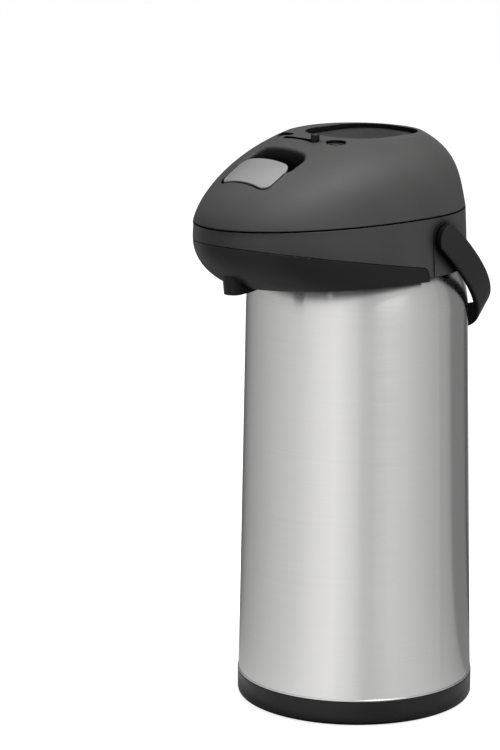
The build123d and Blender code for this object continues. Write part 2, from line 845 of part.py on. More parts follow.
# Wedge of air over the dome: it levels the top, which falls a little to the rear
with BuildPart() as top_trim:
    with BuildSketch(Plane.YZ):
        with BuildLine():
            Polyline(
                (-lock_reach, dome_top - top_front_drop),
                (well_rear_reach, dome_top - top_rear_drop),
                (2 * well_rear_reach, dome_top - 2 * top_rear_drop + top_front_drop),
                (2 * well_rear_reach, 2 * dome_top),
                (-nose_reach, 2 * dome_top),
                (-nose_reach, dome_top - top_front_drop),
                close=True,
            )
        make_face()
    extrude(amount=nose_reach, both=True)

with BuildPart() as dome_form:
    for level in dome_levels:
        with BuildSketch(Plane.XY.offset(level)):
            add(egg(dome_half_width(level), dome_nose(level)))
    loft()
    add(top_trim.part, mode=Mode.SUBTRACT)

dome_space_top = dome_top - dome_roof
roof_stretch = (dome_top - seam_height) / (dome_space_top - seam_height)
with BuildPart() as dome_space:
    for level in dome_levels:
        inner_level = seam_height + (level - seam_height) / roof_stretch
        with BuildSketch(Plane.XY.offset(inner_level)):
            add(egg(dome_half_width(level) - dome_wall, dome_nose(level) - dome_wall))
    loft()
    add(top_trim.part.moved(Location((0, 0, -dome_roof))), mode=Mode.SUBTRACT)

# Openings in the dome's skin, seen from above
pocket_front_reach = latch_front_reach + latch_front_gap
pocket_length = pocket_front_reach - pocket_rear_reach
pocket_middle = -(pocket_front_reach + pocket_rear_reach) / 2
pocket_half_width = latch_half_width + latch_side_gap
finger_room = latch_rear_reach + latch_corner - pocket_rear_reach

with BuildPart() as lid_walls:
    with BuildSketch(Plane.XY.offset(button_well_bottom)):
        with Locations((0, button_well_centre)):
            RectangleRounded(
                2 * (button_well_half_width + button_well_wall),
                2 * (button_well_half_length + button_well_wall),
                button_well_corner + button_well_wall,
            )
    extrude(amount=dome_top - button_well_bottom)
    with BuildSketch(Plane.XY.offset(pocket_floor - pocket_wall)):
        with Locations((0, pocket_middle)):
            Rectangle(
                2 * (pocket_half_width + pocket_wall),
                pocket_length + 2 * pocket_wall,
            )
    extrude(amount=dome_top - pocket_floor + pocket_wall)
    with BuildSketch(Plane.XY.offset(lid_plate_top)):
        for side in (1, -1):
            with Locations(
                (side * lid_screw_offset, -lid_screw_front_reach),
                (side * lid_screw_offset, lid_screw_rear_reach),
            ):
                Circle(lid_post_radius)
    extrude(amount=dome_top - lid_plate_top)
    add(dome_form.part, mode=Mode.INTERSECT)

with BuildPart() as lid_cover:
    add(dome_form.part)
    add(dome_space.part, mode=Mode.SUBTRACT)
    add(lid_walls.part)
    with BuildSketch(Plane.XY.offset(button_well_bottom)):
        with Locations((0, button_well_centre)):
            RectangleRounded(
                2 * button_well_half_width, 2 * button_well_half_length, button_well_corner
            )
    extrude(amount=dome_top, mode=Mode.SUBTRACT)
    # room for a fingertip behind the latch, with a rounded lip
    with BuildSketch(Plane.XY.offset(pocket_floor)):
        with Locations((0, -pocket_rear_reach - finger_room / 2)):
            RectangleRounded(2 * pocket_half_width, finger_room, latch_corner)
    extrude(amount=dome_top, mode=Mode.SUBTRACT)
    pocket_rim = lid_cover.edges(Select.LAST).filter_by(GeomType.LINE, reverse=True)
    fillet(pocket_rim.filter_by_position(Axis.Z, pocket_floor + 1, dome_top), pocket_lip_radius)
    # seat of the latch
    with BuildSketch(Plane.XY.offset(pocket_floor)):
        with Locations((0, pocket_middle)):
            RectangleRounded(2 * pocket_half_width, pocket_length, latch_corner)
    extrude(amount=dome_top, mode=Mode.SUBTRACT)
    with BuildSketch(Plane.XY.offset(pocket_floor - pocket_wall)):
        with Locations((0, latch_slot_middle)):
            Rectangle(latch_arm_width + 2 * latch_slot_margin, latch_slot_length)
    extrude(amount=pocket_wall, mode=Mode.SUBTRACT)
    with BuildSketch(Plane.XY.offset(dome_space_top - 2 * dome_roof)):
        with Locations((0, -lock_reach)):
            SlotOverall(2 * lock_slot_half_length, lock_slot_width)
    extrude(amount=dome_top, mode=Mode.SUBTRACT)
    for side in (1, -1):
        with BuildSketch(Plane.XY.offset(mark_height)):
            with Locations((side * mark_offset, -mark_reach)):
                Circle(mark_radius)
        extrude(amount=dome_top - mark_height + 1, mode=Mode.SUBTRACT)
        with BuildSketch(Plane.XY.offset(lid_plate_top)):
            with Locations(
                (side * lid_screw_offset, -lid_screw_front_reach),
                (side * lid_screw_offset, lid_screw_rear_reach),
            ):
                Circle(screw_radius)
        extrude(amount=lid_screw_length, mode=Mode.SUBTRACT)
    with BuildSketch(Plane.YZ):
        with Locations((-latch_pivot_reach, latch_pivot_height)):
            Circle(latch_pin_radius)
    extrude(amount=pocket_half_width + pocket_wall + 1, both=True, mode=Mode.SUBTRACT)
    lid_web = hinge_standoff + dome_wall
    with BuildSketch(Plane.YZ):
        with Locations((hinge_reach, seam_height)):
            Circle(hinge_knuckle_radius)
        with Locations((hinge_reach - lid_web / 2, lid_plate_bottom + hinge_web_height / 2)):
            Rectangle(lid_web, hinge_web_height)
    extrude(amount=hinge_lid_half_width, both=True)
    with BuildSketch(Plane.YZ):
        with Locations((hinge_reach, seam_height)):
            Circle(hinge_pin_radius + running_fit)
    extrude(amount=hinge_lid_half_width + 1, both=True, mode=Mode.SUBTRACT)

# Lid base: the plate that closes the dome, with the pump's cup
plate_margin = dome_wall + 0.5
with BuildPart() as lid_base:
    with BuildSketch(Plane.XY.offset(lid_plate_bottom)):
        add(
            egg(
                dome_half_width(lid_plate_top) - plate_margin,
                dome_nose(lid_plate_top) - plate_margin,
            )
        )
    extrude(amount=lid_plate_thickness)
    with BuildSketch(Plane.XY.offset(cup_bottom)):
        Circle(cup_radius)
    extrude(amount=lid_plate_bottom - cup_bottom)
    with BuildSketch(Plane.XY.offset(cup_bottom)):
        Circle(cup_flange_radius)
    extrude(amount=cup_floor)
    with BuildSketch(Plane.XY.offset(cup_inside)):
        Circle(cup_radius - cup_wall)
    extrude(amount=seam_height, mode=Mode.SUBTRACT)
    with BuildSketch(Plane.XY.offset(cup_bottom)):
        with PolarLocations(valve_port_ring, 3):
            Circle(valve_port_radius - 0.9)
        Circle(1.2)
    extrude(amount=cup_floor, mode=Mode.SUBTRACT)
    with BuildSketch(Plane.XY.offset(lid_plate_bottom)):
        with Locations((0, latch_slot_middle)):
            Rectangle(latch_arm_width + 2 * latch_slot_margin, latch_slot_length)
        for side in (1, -1):
            with Locations(
                (side * lid_screw_offset, -lid_screw_front_reach),
                (side * lid_screw_offset, lid_screw_rear_reach),
            ):
                Circle(screw_radius + screw_fit)
    extrude(amount=lid_plate_thickness, mode=Mode.SUBTRACT)

with BuildPart() as lid_gasket:
    with BuildSketch(Plane.XY.offset(throat_seat_height + moving_gap)):
        Circle(cup_flange_radius)
        Circle(cup_flange_radius - lid_gasket_width, mode=Mode.SUBTRACT)
    extrude(amount=lid_gasket_thickness)

# Rubber flap under the cup that lets air down into the flask
with BuildPart() as air_valve:
    with BuildSketch(Plane.XY.offset(cup_bottom - 1.2)):
        Circle(valve_radius)
    extrude(amount=1.2)
    with BuildSketch(Plane.XY.offset(cup_bottom)):
        Circle(1.2)
    extrude(amount=cup_floor)
    with BuildSketch(Plane.XY.offset(cup_inside)):
        Circle(2.0)
    extrude(amount=1.4)

with BuildPart() as lid_screws:
    with Locations(
        (lid_screw_offset, -lid_screw_front_reach, lid_plate_bottom),
        (-lid_screw_offset, -lid_screw_front_reach, lid_plate_bottom),
        (lid_screw_offset, lid_screw_rear_reach, lid_plate_bottom),
        (-lid_screw_offset, lid_screw_rear_reach, lid_plate_bottom),
    ):
        Cylinder(
            screw_head_radius,
            screw_head_height,
            align=(Align.CENTER, Align.CENTER, Align.MAX),
        )
        Cylinder(
            screw_radius,
            lid_screw_length,
            align=(Align.CENTER, Align.CENTER, Align.MIN),
        )

# Bellows: a folded sleeve between the cup's floor and the button
fold_pitch = (bellows_top - cup_inside - 2 * bellows_collar) / bellows_folds
fold_start = cup_inside + bellows_collar
bellows_waist = bellows_radius - bellows_fold_depth
outer_folds = [(bellows_waist, cup_inside), (bellows_waist, fold_start)]
for fold in range(bellows_folds):
    outer_folds.append((bellows_radius, fold_start + (fold + 0.5) * fold_pitch))
    outer_folds.append((bellows_waist, fold_start + (fold + 1) * fold_pitch))
outer_folds.append((bellows_waist, bellows_top))
inner_folds = [(radius - bellows_wall, height) for radius, height in reversed(outer_folds)]
with BuildPart() as bellows:
    with BuildSketch(Plane.XZ):
        with BuildLine():
            Polyline(*outer_folds, *inner_folds, close=True)
        make_face()
    revolve(axis=Axis.Z)

# Return spring inside the bellows
spring_bottom = cup_inside + spring_wire
spring_height = bellows_top - cup_inside - 2 * spring_wire
with BuildPart() as pump_spring:
    with BuildLine():
        coil = Helix(
            pitch=spring_height / spring_turns,
            height=spring_height,
            radius=spring_radius,
            center=(0, 0, spring_bottom),
        )
    with BuildSketch(Plane(origin=coil @ 0, z_dir=coil % 0)):
        Circle(spring_wire)
    sweep(is_frenet=True)

# Pump button: a dished cap that slides in the well
with BuildPart() as pump_button:
    with BuildSketch(Plane.XY.offset(button_top - button_skirt)):
        with Locations((0, button_well_centre)):
            RectangleRounded(
                2 * (button_well_half_width - moving_gap),
                2 * (button_well_half_length - moving_gap),
                button_well_corner - moving_gap,
            )
    extrude(amount=button_skirt)
    fillet(pump_button.faces().sort_by(Axis.Z)[-1].edges(), 1.6)
    with BuildSketch(Plane.XY.offset(button_top - button_skirt)):
        with Locations((0, button_well_centre)):
            RectangleRounded(
                2 * (button_well_half_width - moving_gap - button_skirt_wall),
                2 * (button_well_half_length - moving_gap - button_skirt_wall),
                button_well_corner - moving_gap - button_skirt_wall,
            )
    extrude(amount=button_skirt - (button_top - plate_underside), mode=Mode.SUBTRACT)
    dish_sphere_radius = (
        button_well_half_width**2 + button_dish_depth**2
    ) / (2 * button_dish_depth) * 0.8
    with Locations(
        (0, button_well_centre, button_top - button_dish_depth + dish_sphere_radius)
    ):
        Sphere(dish_sphere_radius, mode=Mode.SUBTRACT)

# Latch: a plate flush with the nose, two lugs on a pin and an arm down to the deck
with BuildPart() as latch_skin:
    add(dome_form.part)
    add(dome_form.part.moved(Location((0, 0, -latch_thickness))), mode=Mode.SUBTRACT)
    with BuildSketch(Plane.XY.offset(pocket_floor)):
        with Locations((0, -(latch_front_reach + latch_rear_reach) / 2)):
            RectangleRounded(
                2 * latch_half_width, latch_front_reach - latch_rear_reach, latch_corner
            )
    extrude(amount=dome_top - pocket_floor, mode=Mode.INTERSECT)
    latch_face = latch_skin.faces().filter_by(GeomType.BSPLINE).sort_by(Axis.Z)[-1]
    fillet(latch_face.edges(), latch_edge_radius)

with BuildPart() as latch_under:
    for side in (1, -1):
        with BuildSketch(Plane.YZ.offset(side * latch_lug_offset)):
            with Locations((-latch_pivot_reach, latch_pivot_height)):
                Circle(latch_lug_radius)
            with Locations((-latch_pivot_reach + 1, latch_pivot_height + 4)):
                Rectangle(2 * latch_lug_radius - 2, 8)
        extrude(amount=latch_lug_thickness / 2, both=True)
    with BuildSketch(Plane.YZ):
        with Locations((-latch_pivot_reach + 4, (latch_arm_bottom + latch_pivot_height + 10) / 2)):
            Rectangle(latch_arm_thickness, latch_pivot_height + 10 - latch_arm_bottom)
    extrude(amount=latch_arm_width / 2, both=True)
    add(dome_form.part.moved(Location((0, 0, -latch_thickness / 2))), mode=Mode.INTERSECT)

with BuildPart() as latch_foot:
    with BuildSketch(Plane.YZ):
        with Locations((-latch_pivot_reach + 4, (latch_arm_bottom + pocket_floor) / 2)):
            Rectangle(latch_arm_thickness, pocket_floor - latch_arm_bottom)
    extrude(amount=latch_arm_width / 2, both=True)

with BuildPart() as latch_lever:
    add(latch_skin.part)
    add(latch_under.part)
    add(latch_foot.part)
    with BuildSketch(Plane.YZ):
        with Locations((-latch_pivot_reach, latch_pivot_height)):
            Circle(latch_pin_radius + running_fit)
    extrude(amount=pocket_half_width, both=True, mode=Mode.SUBTRACT)

with BuildPart() as latch_pin:
    with BuildSketch(Plane.YZ):
        with Locations((-latch_pivot_reach, latch_pivot_height)):
            Circle(latch_pin_radius)
    extrude(amount=pocket_half_width + pocket_wall, both=True)

latch_spring_length = latch_spring_turns * 3 * latch_spring_wire
with BuildPart() as latch_spring:
    with BuildLine():
        twist = Helix(
            pitch=3 * latch_spring_wire,
            height=latch_spring_length,
            radius=latch_spring_radius,
            center=(
                latch_lug_offset - latch_lug_thickness / 2 - latch_spring_length - 0.9,
                -latch_pivot_reach,
                latch_pivot_height,
            ),
            direction=(1, 0, 0),
        )
    with BuildSketch(Plane(origin=twist @ 0, z_dir=twist % 0)):
        Circle(latch_spring_wire)
    sweep(is_frenet=True)

# Lock slider: a small knob on a plate that slides under the dome's skin
knob_rest = lock_travel / 2
lock_plate_top = dome_space_top - lock_plate_drop
with BuildPart() as lock_slider:
    with BuildSketch(Plane.XY.offset(lock_plate_top - lock_plate_thickness)):
        with Locations((knob_rest, -lock_reach)):
            Rectangle(lock_plate_length, lock_plate_width)
    extrude(amount=lock_plate_thickness)
    with BuildSketch(Plane.XY.offset(lock_plate_top)):
        with Locations((knob_rest, -lock_reach)):
            RectangleRounded(lock_knob_width, lock_knob_length, 1.6)
    extrude(amount=lock_knob_top - lock_plate_top)
    fillet(lock_slider.faces().sort_by(Axis.Z)[-1].edges(), 1.0)

# Guide that holds the slider up against the skin
guide_half_length = lock_travel / 2 + lock_plate_length / 2 + 1.5
with BuildPart() as lock_guide:
    with BuildSketch(Plane.XY.offset(lock_plate_top - lock_plate_thickness - 0.3 - lock_guide_wall)):
        with Locations((0, -lock_reach)):
            Rectangle(2 * guide_half_length, lock_plate_width + 2 * (0.4 + lock_guide_wall))
    extrude(amount=lock_guide_wall)
    for side in (1, -1):
        edge = side * (lock_plate_width / 2 + 0.4 + lock_guide_wall / 2)
        with BuildSketch(Plane.XY.offset(lock_plate_top - lock_plate_thickness - 0.3)):
            with Locations((0, -lock_reach + edge)):
                Rectangle(2 * guide_half_length, lock_guide_wall)
        extrude(amount=dome_roof + 6)
    add(dome_space.part, mode=Mode.INTERSECT)

# Bail handle: a half-elliptic strap in a plane that slopes down to the rear
drop = math.radians(bail_drop_angle)
bail_plane = Plane(
    origin=(0, bail_pivot_rear, bail_pivot_height),
    x_dir=(1, 0, 0),
    z_dir=(0, math.sin(drop), math.cos(drop)),
)
inner_half_width = bail_half_width - bail_thickness
inner_length = bail_length - bail_thickness
with BuildPart() as bail_ends:
    with BuildSketch(Plane.YZ):
        with Locations((bail_pivot_rear, bail_pivot_height)):
            Circle(bail_lobe_radius)
    extrude(amount=side_reach, both=True)
    with BuildSketch(bail_plane):
        with Locations((0, bail_length)):
            Rectangle(2 * side_reach, 2 * bail_length)
    extrude(amount=2 * bail_lobe_radius, both=True)

with BuildPart() as bail_handle:
    with BuildSketch(bail_plane):
        with BuildLine():
            EllipticalCenterArc((0, 0), bail_half_width, bail_length, 0, arc_size=180)
            EllipticalCenterArc((0, 0), inner_half_width, inner_length, 0, arc_size=180)
            for side in (1, -1):
                Polyline(
                    (side * bail_half_width, 0),
                    (side * bail_half_width, -bail_lobe_radius - 1),
                    (side * inner_half_width, -bail_lobe_radius - 1),
                    (side * inner_half_width, 0),
                )
        make_face()
    extrude(amount=bail_strap_half_width, both=True)
    add(bail_ends.part, mode=Mode.INTERSECT)
    fillet(bail_handle.edges().sort_by(SortBy.LENGTH)[-4:], bail_edge_radius)
    with BuildSketch(Plane.YZ):
        with Locations((bail_pivot_rear, bail_pivot_height)):
            Circle(bail_pin_radius + running_fit)
    extrude(amount=bail_half_width - bail_pin_skin, both=True, mode=Mode.SUBTRACT)

# Brackets that carry the bail, one in each side of the collar
for side, name in ((1, "right"), (-1, "left")):
    with BuildPart() as handle_bracket:
        with BuildSketch(Plane.YZ.offset(side * bracket_inner_face)):
            with Locations((bail_axis_y, bail_pivot_height)):
                Circle(bracket_radius)
            with Locations((bail_axis_y, (bail_pivot_height + collar_bottom) / 2)):
                Rectangle(2 * bracket_radius, bail_pivot_height - collar_bottom)
        extrude(amount=side * (side_reach - bracket_inner_face))
        flange_bottom = collar_bottom + seat_lip_height + 2
        with BuildSketch(Plane.YZ.offset(side * bracket_inner_face)):
            with Locations((bail_axis_y, (bail_pivot_height + flange_bottom) / 2)):
                Rectangle(
                    2 * (bracket_radius + bracket_flange_margin),
                    bail_pivot_height - flange_bottom,
                )
        extrude(amount=-side * bracket_flange_thickness)
        with Locations((0, 0, collar_bottom)):
            Cone(
                collar_half_width(collar_bottom) + bracket_rise,
                collar_half_width(seam_height) + bracket_rise,
                seam_height - collar_bottom,
                align=(Align.CENTER, Align.CENTER, Align.MIN),
                mode=Mode.INTERSECT,
            )
        with BuildSketch(Plane.YZ):
            with Locations((bail_axis_y, bail_pivot_height)):
                Circle(bail_pin_radius)
        extrude(amount=side * side_reach, mode=Mode.SUBTRACT)
    handle_bracket.part.label = "handle_bracket_" + name
    export_step(handle_bracket.part, "parts/handle_bracket_" + name + ".step")

pin_end = bail_half_width - bail_pin_skin - 0.3
pin_root = bracket_inner_face - bracket_flange_thickness
with BuildPart() as handle_pins:
    for side in (1, -1):
        with BuildSketch(Plane.YZ.offset(side * pin_root)):
            with Locations((bail_axis_y, bail_pivot_height)):
                Circle(bail_pin_radius)
        extrude(amount=side * (pin_end - pin_root))

with BuildPart() as hinge_pin:
    with BuildSketch(Plane.YZ):
        with Locations((hinge_reach, seam_height)):
            Circle(hinge_pin_radius)
    extrude(amount=hinge_half_width, both=True)

pieces = {
    "foot_ring": foot_ring,
    "turntable": turntable,
    "swivel_pin": swivel_pin,
    "base_cup": base_cup,
    "steel_jacket": steel_jacket,
    "flask_outer_glass": flask_outer_glass,
    "flask_inner_glass": flask_inner_glass,
    "flask_cushion": flask_cushion,
    "neck_gasket": neck_gasket,
    "collar": collar,
    "spout_hood": spout_hood,
    "hood_screws": hood_screws,
    "delivery_pipe": delivery_pipe,
    "pipe_seal": pipe_seal,
    "riser_holder": riser_holder,
    "riser_tube": riser_tube,
    "handle_pins": handle_pins,
    "hinge_pin": hinge_pin,
    "bail_handle": bail_handle,
    "lid_cover": lid_cover,
    "lid_base": lid_base,
    "lid_gasket": lid_gasket,
    "air_valve": air_valve,
    "lid_screws": lid_screws,
    "bellows": bellows,
    "pump_spring": pump_spring,
    "latch_pin": latch_pin,
    "latch_spring": latch_spring,
    "lock_guide": lock_guide,
    "pump_button": pump_button,
    "lock_slider": lock_slider,
    "latch_lever": latch_lever,
}
for name, piece in pieces.items():
    piece.part.label = name
    export_step(piece.part, "parts/" + name + ".step")
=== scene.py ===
"""Looks for an airpot: a steel jacket on a swivel foot under an egg-shaped moulded head."""

import logging
import math
from dataclasses import dataclass
from enum import Enum

import bpy
import numpy as np
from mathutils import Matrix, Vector


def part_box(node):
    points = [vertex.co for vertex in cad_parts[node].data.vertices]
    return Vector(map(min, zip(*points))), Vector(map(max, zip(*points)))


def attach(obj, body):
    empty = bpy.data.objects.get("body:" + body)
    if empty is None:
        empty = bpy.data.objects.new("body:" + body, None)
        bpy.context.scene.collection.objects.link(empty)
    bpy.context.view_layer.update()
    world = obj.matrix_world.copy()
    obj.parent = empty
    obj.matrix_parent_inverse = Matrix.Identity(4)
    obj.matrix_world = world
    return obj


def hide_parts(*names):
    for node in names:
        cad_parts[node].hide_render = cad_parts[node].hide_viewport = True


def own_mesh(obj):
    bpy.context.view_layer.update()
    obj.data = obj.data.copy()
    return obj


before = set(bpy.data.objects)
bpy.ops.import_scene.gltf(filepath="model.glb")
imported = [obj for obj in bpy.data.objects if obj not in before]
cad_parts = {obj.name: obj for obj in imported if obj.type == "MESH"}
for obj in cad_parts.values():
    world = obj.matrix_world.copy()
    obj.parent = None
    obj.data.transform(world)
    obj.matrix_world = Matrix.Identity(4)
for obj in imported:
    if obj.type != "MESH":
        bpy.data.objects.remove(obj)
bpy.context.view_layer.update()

log = logging.getLogger("airpot")

MM = 0.001
CAMERA_BEARING = 43.4
WHITE = (1.0, 1.0, 1.0, 1.0)
BLACK = (0.0, 0.0, 0.0, 1.0)

Colour = tuple[float, float, float]


def rgba(colour: Colour, factor: float = 1.0) -> tuple[float, ...]:
    """Returns a colour times a factor, with full alpha."""
    return (*(factor * part for part in colour), 1.0)


class Wiring:
    """Adds nodes to one node tree and links them."""

    def __init__(self, tree: bpy.types.NodeTree) -> None:
        """Starts on an existing tree.

        Args:
            tree: the node tree of a material, a world or a group.
        """
        self.tree = tree

    def feed(self, node: bpy.types.Node, **inputs: object) -> None:
        """Sets or links inputs of a node.

        Args:
            node: the node.
            inputs: a value or an output socket for each input, by the input's name with
                spaces as underscores, or by its number as in i0.
        """
        for key, value in inputs.items():
            numbered = key[0] == "i" and key[1:].isdigit()
            socket = node.inputs[int(key[1:]) if numbered else key.replace("_", " ")]
            if isinstance(value, bpy.types.NodeSocket):
                self.tree.links.new(value, socket)
            else:
                socket.default_value = value

    def add(self, kind: str, settings: dict | None = None, **inputs: object) -> bpy.types.Node:
        """Adds one node.

        Args:
            kind: the node's type name, such as ShaderNodeMath.
            settings: properties of the node, such as its operation.
            inputs: its inputs, as feed takes them.

        Returns:
            The new node.
        """
        node = self.tree.nodes.new(kind)
        for key, value in (settings or {}).items():
            setattr(node, key, value)
        self.feed(node, **inputs)
        return node

    def maths(self, operation: str, *values: object) -> bpy.types.NodeSocket:
        """Adds a Math node on the given values or sockets and returns its output."""
        pairs = {f"i{n}": value for n, value in enumerate(values)}
        return self.add("ShaderNodeMath", {"operation": operation}, **pairs).outputs[0]

    def spread(
        self, value: object, low: float, high: float, start: float = 0.0, end: float = 1.0
    ) -> bpy.types.NodeSocket:
        """Maps a value from low..high to start..end, held at both ends.

        Args:
            value: the value or socket to map.
            low: the value that gives start.
            high: the value that gives end.
            start: the first result.
            end: the last result.

        Returns:
            The mapped socket.
        """
        node = self.add(
            "ShaderNodeMapRange", {"clamp": True}, i0=value, i1=low, i2=high, i3=start, i4=end
        )
        return node.outputs[0]

    def tinted(self, mask: object, base: object, over: object) -> bpy.types.NodeSocket:
        """Mixes one colour into another by a mask and returns the colour socket."""
        node = self.add("ShaderNodeMix", {"data_type": "RGBA"}, i0=mask, i6=base, i7=over)
        return node.outputs[2]


class Effect(Enum):
    """The surface effects that several finishes share, one shader node group each."""

    SOFT_EDGE = "soft edge"
    MOULDED_SKIN = "moulded skin"
    BRUSHED_LINES = "brushed lines"
    WIPED = "wiped patches"
    DUST = "settled dust"
    # painted shade: darkens narrow places and the undersides of parts
    RECESS = "painted recess shade"

    def group(self) -> bpy.types.NodeTree:
        """Gives this effect's node group, built at its first use.

        Returns:
            The group's node tree.
        """
        found = bpy.data.node_groups.get(self.value)
        if found:
            return found
        tree = bpy.data.node_groups.new(self.value, "ShaderNodeTree")
        getattr(self, "_" + self.name.lower())(tree)
        return tree

    @staticmethod
    def _sockets(
        tree: bpy.types.NodeTree, inputs: dict[str, float], outputs: dict[str, str]
    ) -> tuple[Wiring, bpy.types.Node, bpy.types.Node]:
        """Declares a group's sockets.

        Args:
            tree: the group.
            inputs: the float inputs with their usual values.
            outputs: the outputs with their socket types.

        Returns:
            A Wiring on the tree, its input node and its output node.
        """
        for name, value in inputs.items():
            made = tree.interface.new_socket(name, in_out="INPUT", socket_type="NodeSocketFloat")
            made.default_value = value
        for name, kind in outputs.items():
            tree.interface.new_socket(name, in_out="OUTPUT", socket_type=kind)
        wires = Wiring(tree)
        return wires, wires.add("NodeGroupInput"), wires.add("NodeGroupOutput")

    def _soft_edge(self, tree: bpy.types.NodeTree) -> None:
        """A rounded-edge normal, and a mask of the edge from how far it turns the normal.

        Args:
            tree: the group to fill.
        """
        barely, fully = 0.01, 0.2
        wires, given, out = self._sockets(
            tree, {"Radius": 0.001}, {"Normal": "NodeSocketVector", "Edge": "NodeSocketFloat"}
        )
        bevel = wires.add("ShaderNodeBevel", {"samples": 6}, Radius=given.outputs["Radius"])
        plain = wires.add("ShaderNodeNewGeometry")
        same = wires.add(
            "ShaderNodeVectorMath",
            {"operation": "DOT_PRODUCT"},
            i0=bevel.outputs["Normal"],
            i1=plain.outputs["Normal"],
        )
        turn = wires.maths("SUBTRACT", 1.0, same.outputs["Value"])
        wires.feed(out, Normal=bevel.outputs["Normal"], Edge=wires.spread(turn, barely, fully))

    def _moulded_skin(self, tree: bpy.types.NodeTree) -> None:
        """Spark-eroded mould texture: fine grains on a coarser unevenness, as a height.

        Args:
            tree: the group to fill.
        """
        cell_weight, patch_scale = -0.6, 28.0
        wires, given, out = self._sockets(
            tree, {"Scale": 900.0}, {"Height": "NodeSocketFloat", "Patches": "NodeSocketFloat"}
        )
        place = wires.add("ShaderNodeTexCoord").outputs["Object"]
        scale = given.outputs["Scale"]
        fine = wires.add("ShaderNodeTexNoise", Vector=place, Scale=scale, Detail=3.0)
        cells = wires.add(
            "ShaderNodeTexVoronoi", {"feature": "SMOOTH_F1"}, Vector=place, Scale=scale
        )
        broad = wires.add("ShaderNodeTexNoise", Vector=place, Scale=patch_scale, Detail=4.0)
        gaps = cells.outputs["Distance"]
        height = wires.maths("MULTIPLY_ADD", gaps, cell_weight, fine.outputs[0])
        wires.feed(out, Height=height, Patches=wires.spread(broad.outputs[0], 0.3, 0.7))

    def _brushed_lines(self, tree: bpy.types.NodeTree) -> None:
        """Lines that run round Z: noise on (angle, height), far denser along the height.

        Args:
            tree: the group to fill.
        """
        lines_per_metre, drift = 5200.0, 3.0
        fine_stretch, broad_stretch = (2.2, 1.0), (0.8, 0.32)
        fine_weight, broad_weight = 0.6, 0.4
        wires, given, out = self._sockets(
            tree, {"Fineness": 1.0}, {"Lines": "NodeSocketFloat", "Streaks": "NodeSocketFloat"}
        )
        place = wires.add("ShaderNodeTexCoord").outputs["Object"]
        parts = wires.add("ShaderNodeSeparateXYZ", Vector=place).outputs
        angle = wires.maths("ARCTAN2", parts["Y"], parts["X"])
        density = wires.maths("MULTIPLY", given.outputs[0], lines_per_metre)
        rows = wires.maths("MULTIPLY", parts["Z"], density)
        layered = []
        for along, across in (fine_stretch, broad_stretch):
            point = wires.add(
                "ShaderNodeCombineXYZ",
                X=wires.maths("MULTIPLY", angle, along),
                Y=wires.maths("MULTIPLY", rows, across),
                Z=wires.maths("MULTIPLY", parts["Z"], drift),
            )
            noise = wires.add("ShaderNodeTexNoise", Vector=point.outputs[0], Scale=1.0, Detail=3.0)
            layered.append(noise.outputs[0])
        broad = wires.maths("MULTIPLY", layered[1], broad_weight)
        lines = wires.maths("MULTIPLY_ADD", layered[0], fine_weight, broad)
        wires.feed(out, Lines=lines, Streaks=wires.spread(layered[1], 0.35, 0.65))

    def _wiped(self, tree: bpy.types.NodeTree) -> None:
        """Patches left by a cloth: a warped noise, stretched sideways, as a mask.

        Args:
            tree: the group to fill.
        """
        wires, given, out = self._sockets(tree, {"Scale": 9.0}, {"Mask": "NodeSocketFloat"})
        place = wires.add("ShaderNodeTexCoord").outputs["Object"]
        slanted = wires.add(
            "ShaderNodeMapping", Vector=place, Rotation=(0.3, 0.2, 0.6), Scale=(1.0, 2.4, 1.6)
        )
        noise = wires.add(
            "ShaderNodeTexNoise",
            Vector=slanted.outputs[0],
            Scale=given.outputs["Scale"],
            Detail=5.0,
            Distortion=0.8,
        )
        wires.feed(out, Mask=wires.spread(noise.outputs[0], 0.42, 0.72))

    def _dust(self, tree: bpy.types.NodeTree) -> None:
        """Dust where a face looks up: the normal's height times a speckled noise.

        Args:
            tree: the group to fill.
        """
        speck_scale, drift_scale = 420.0, 22.0
        wires, given, out = self._sockets(tree, {"Amount": 0.3}, {"Mask": "NodeSocketFloat"})
        place = wires.add("ShaderNodeTexCoord")
        spot = place.outputs["Object"]
        up = wires.add("ShaderNodeSeparateXYZ", Vector=place.outputs["Normal"]).outputs["Z"]
        specks = wires.add("ShaderNodeTexNoise", Vector=spot, Scale=speck_scale, Detail=6.0)
        drift = wires.add("ShaderNodeTexNoise", Vector=spot, Scale=drift_scale, Detail=3.0)
        speckled = wires.maths(
            "MULTIPLY",
            wires.spread(specks.outputs[0], 0.5, 0.75),
            wires.spread(drift.outputs[0], 0.35, 0.7, 0.2, 1.0),
        )
        lying = wires.maths("MULTIPLY", wires.spread(up, 0.5, 1.0), speckled)
        wires.feed(out, Mask=wires.maths("MULTIPLY", lying, given.outputs["Amount"]))

    def _recess(self, tree: bpy.types.NodeTree) -> None:
        """A mask of painted shade: narrow places and spots under parts, from how little open air a
        point has near it.

        Args:
            tree: the group to fill.
        """
        closed, open_air = 0.58, 0.93
        wires, given, out = self._sockets(tree, {"Reach": 0.03}, {"Mask": "NodeSocketFloat"})
        air = wires.add("ShaderNodeAmbientOcclusion", {"samples": 6}, Distance=given.outputs[0])
        wires.feed(out, Mask=wires.spread(air.outputs["AO"], closed, open_air, 1.0, 0.0))

    def place(self, wires: Wiring, **inputs: float) -> bpy.types.Node:
        """Places this effect in a material.

        Args:
            wires: the material's wiring.
            inputs: values of the group's inputs.

        Returns:
            The group node.
        """
        node = wires.tree.nodes.new("ShaderNodeGroup")
        node.node_tree = self.group()
        wires.feed(node, **inputs)
        return node


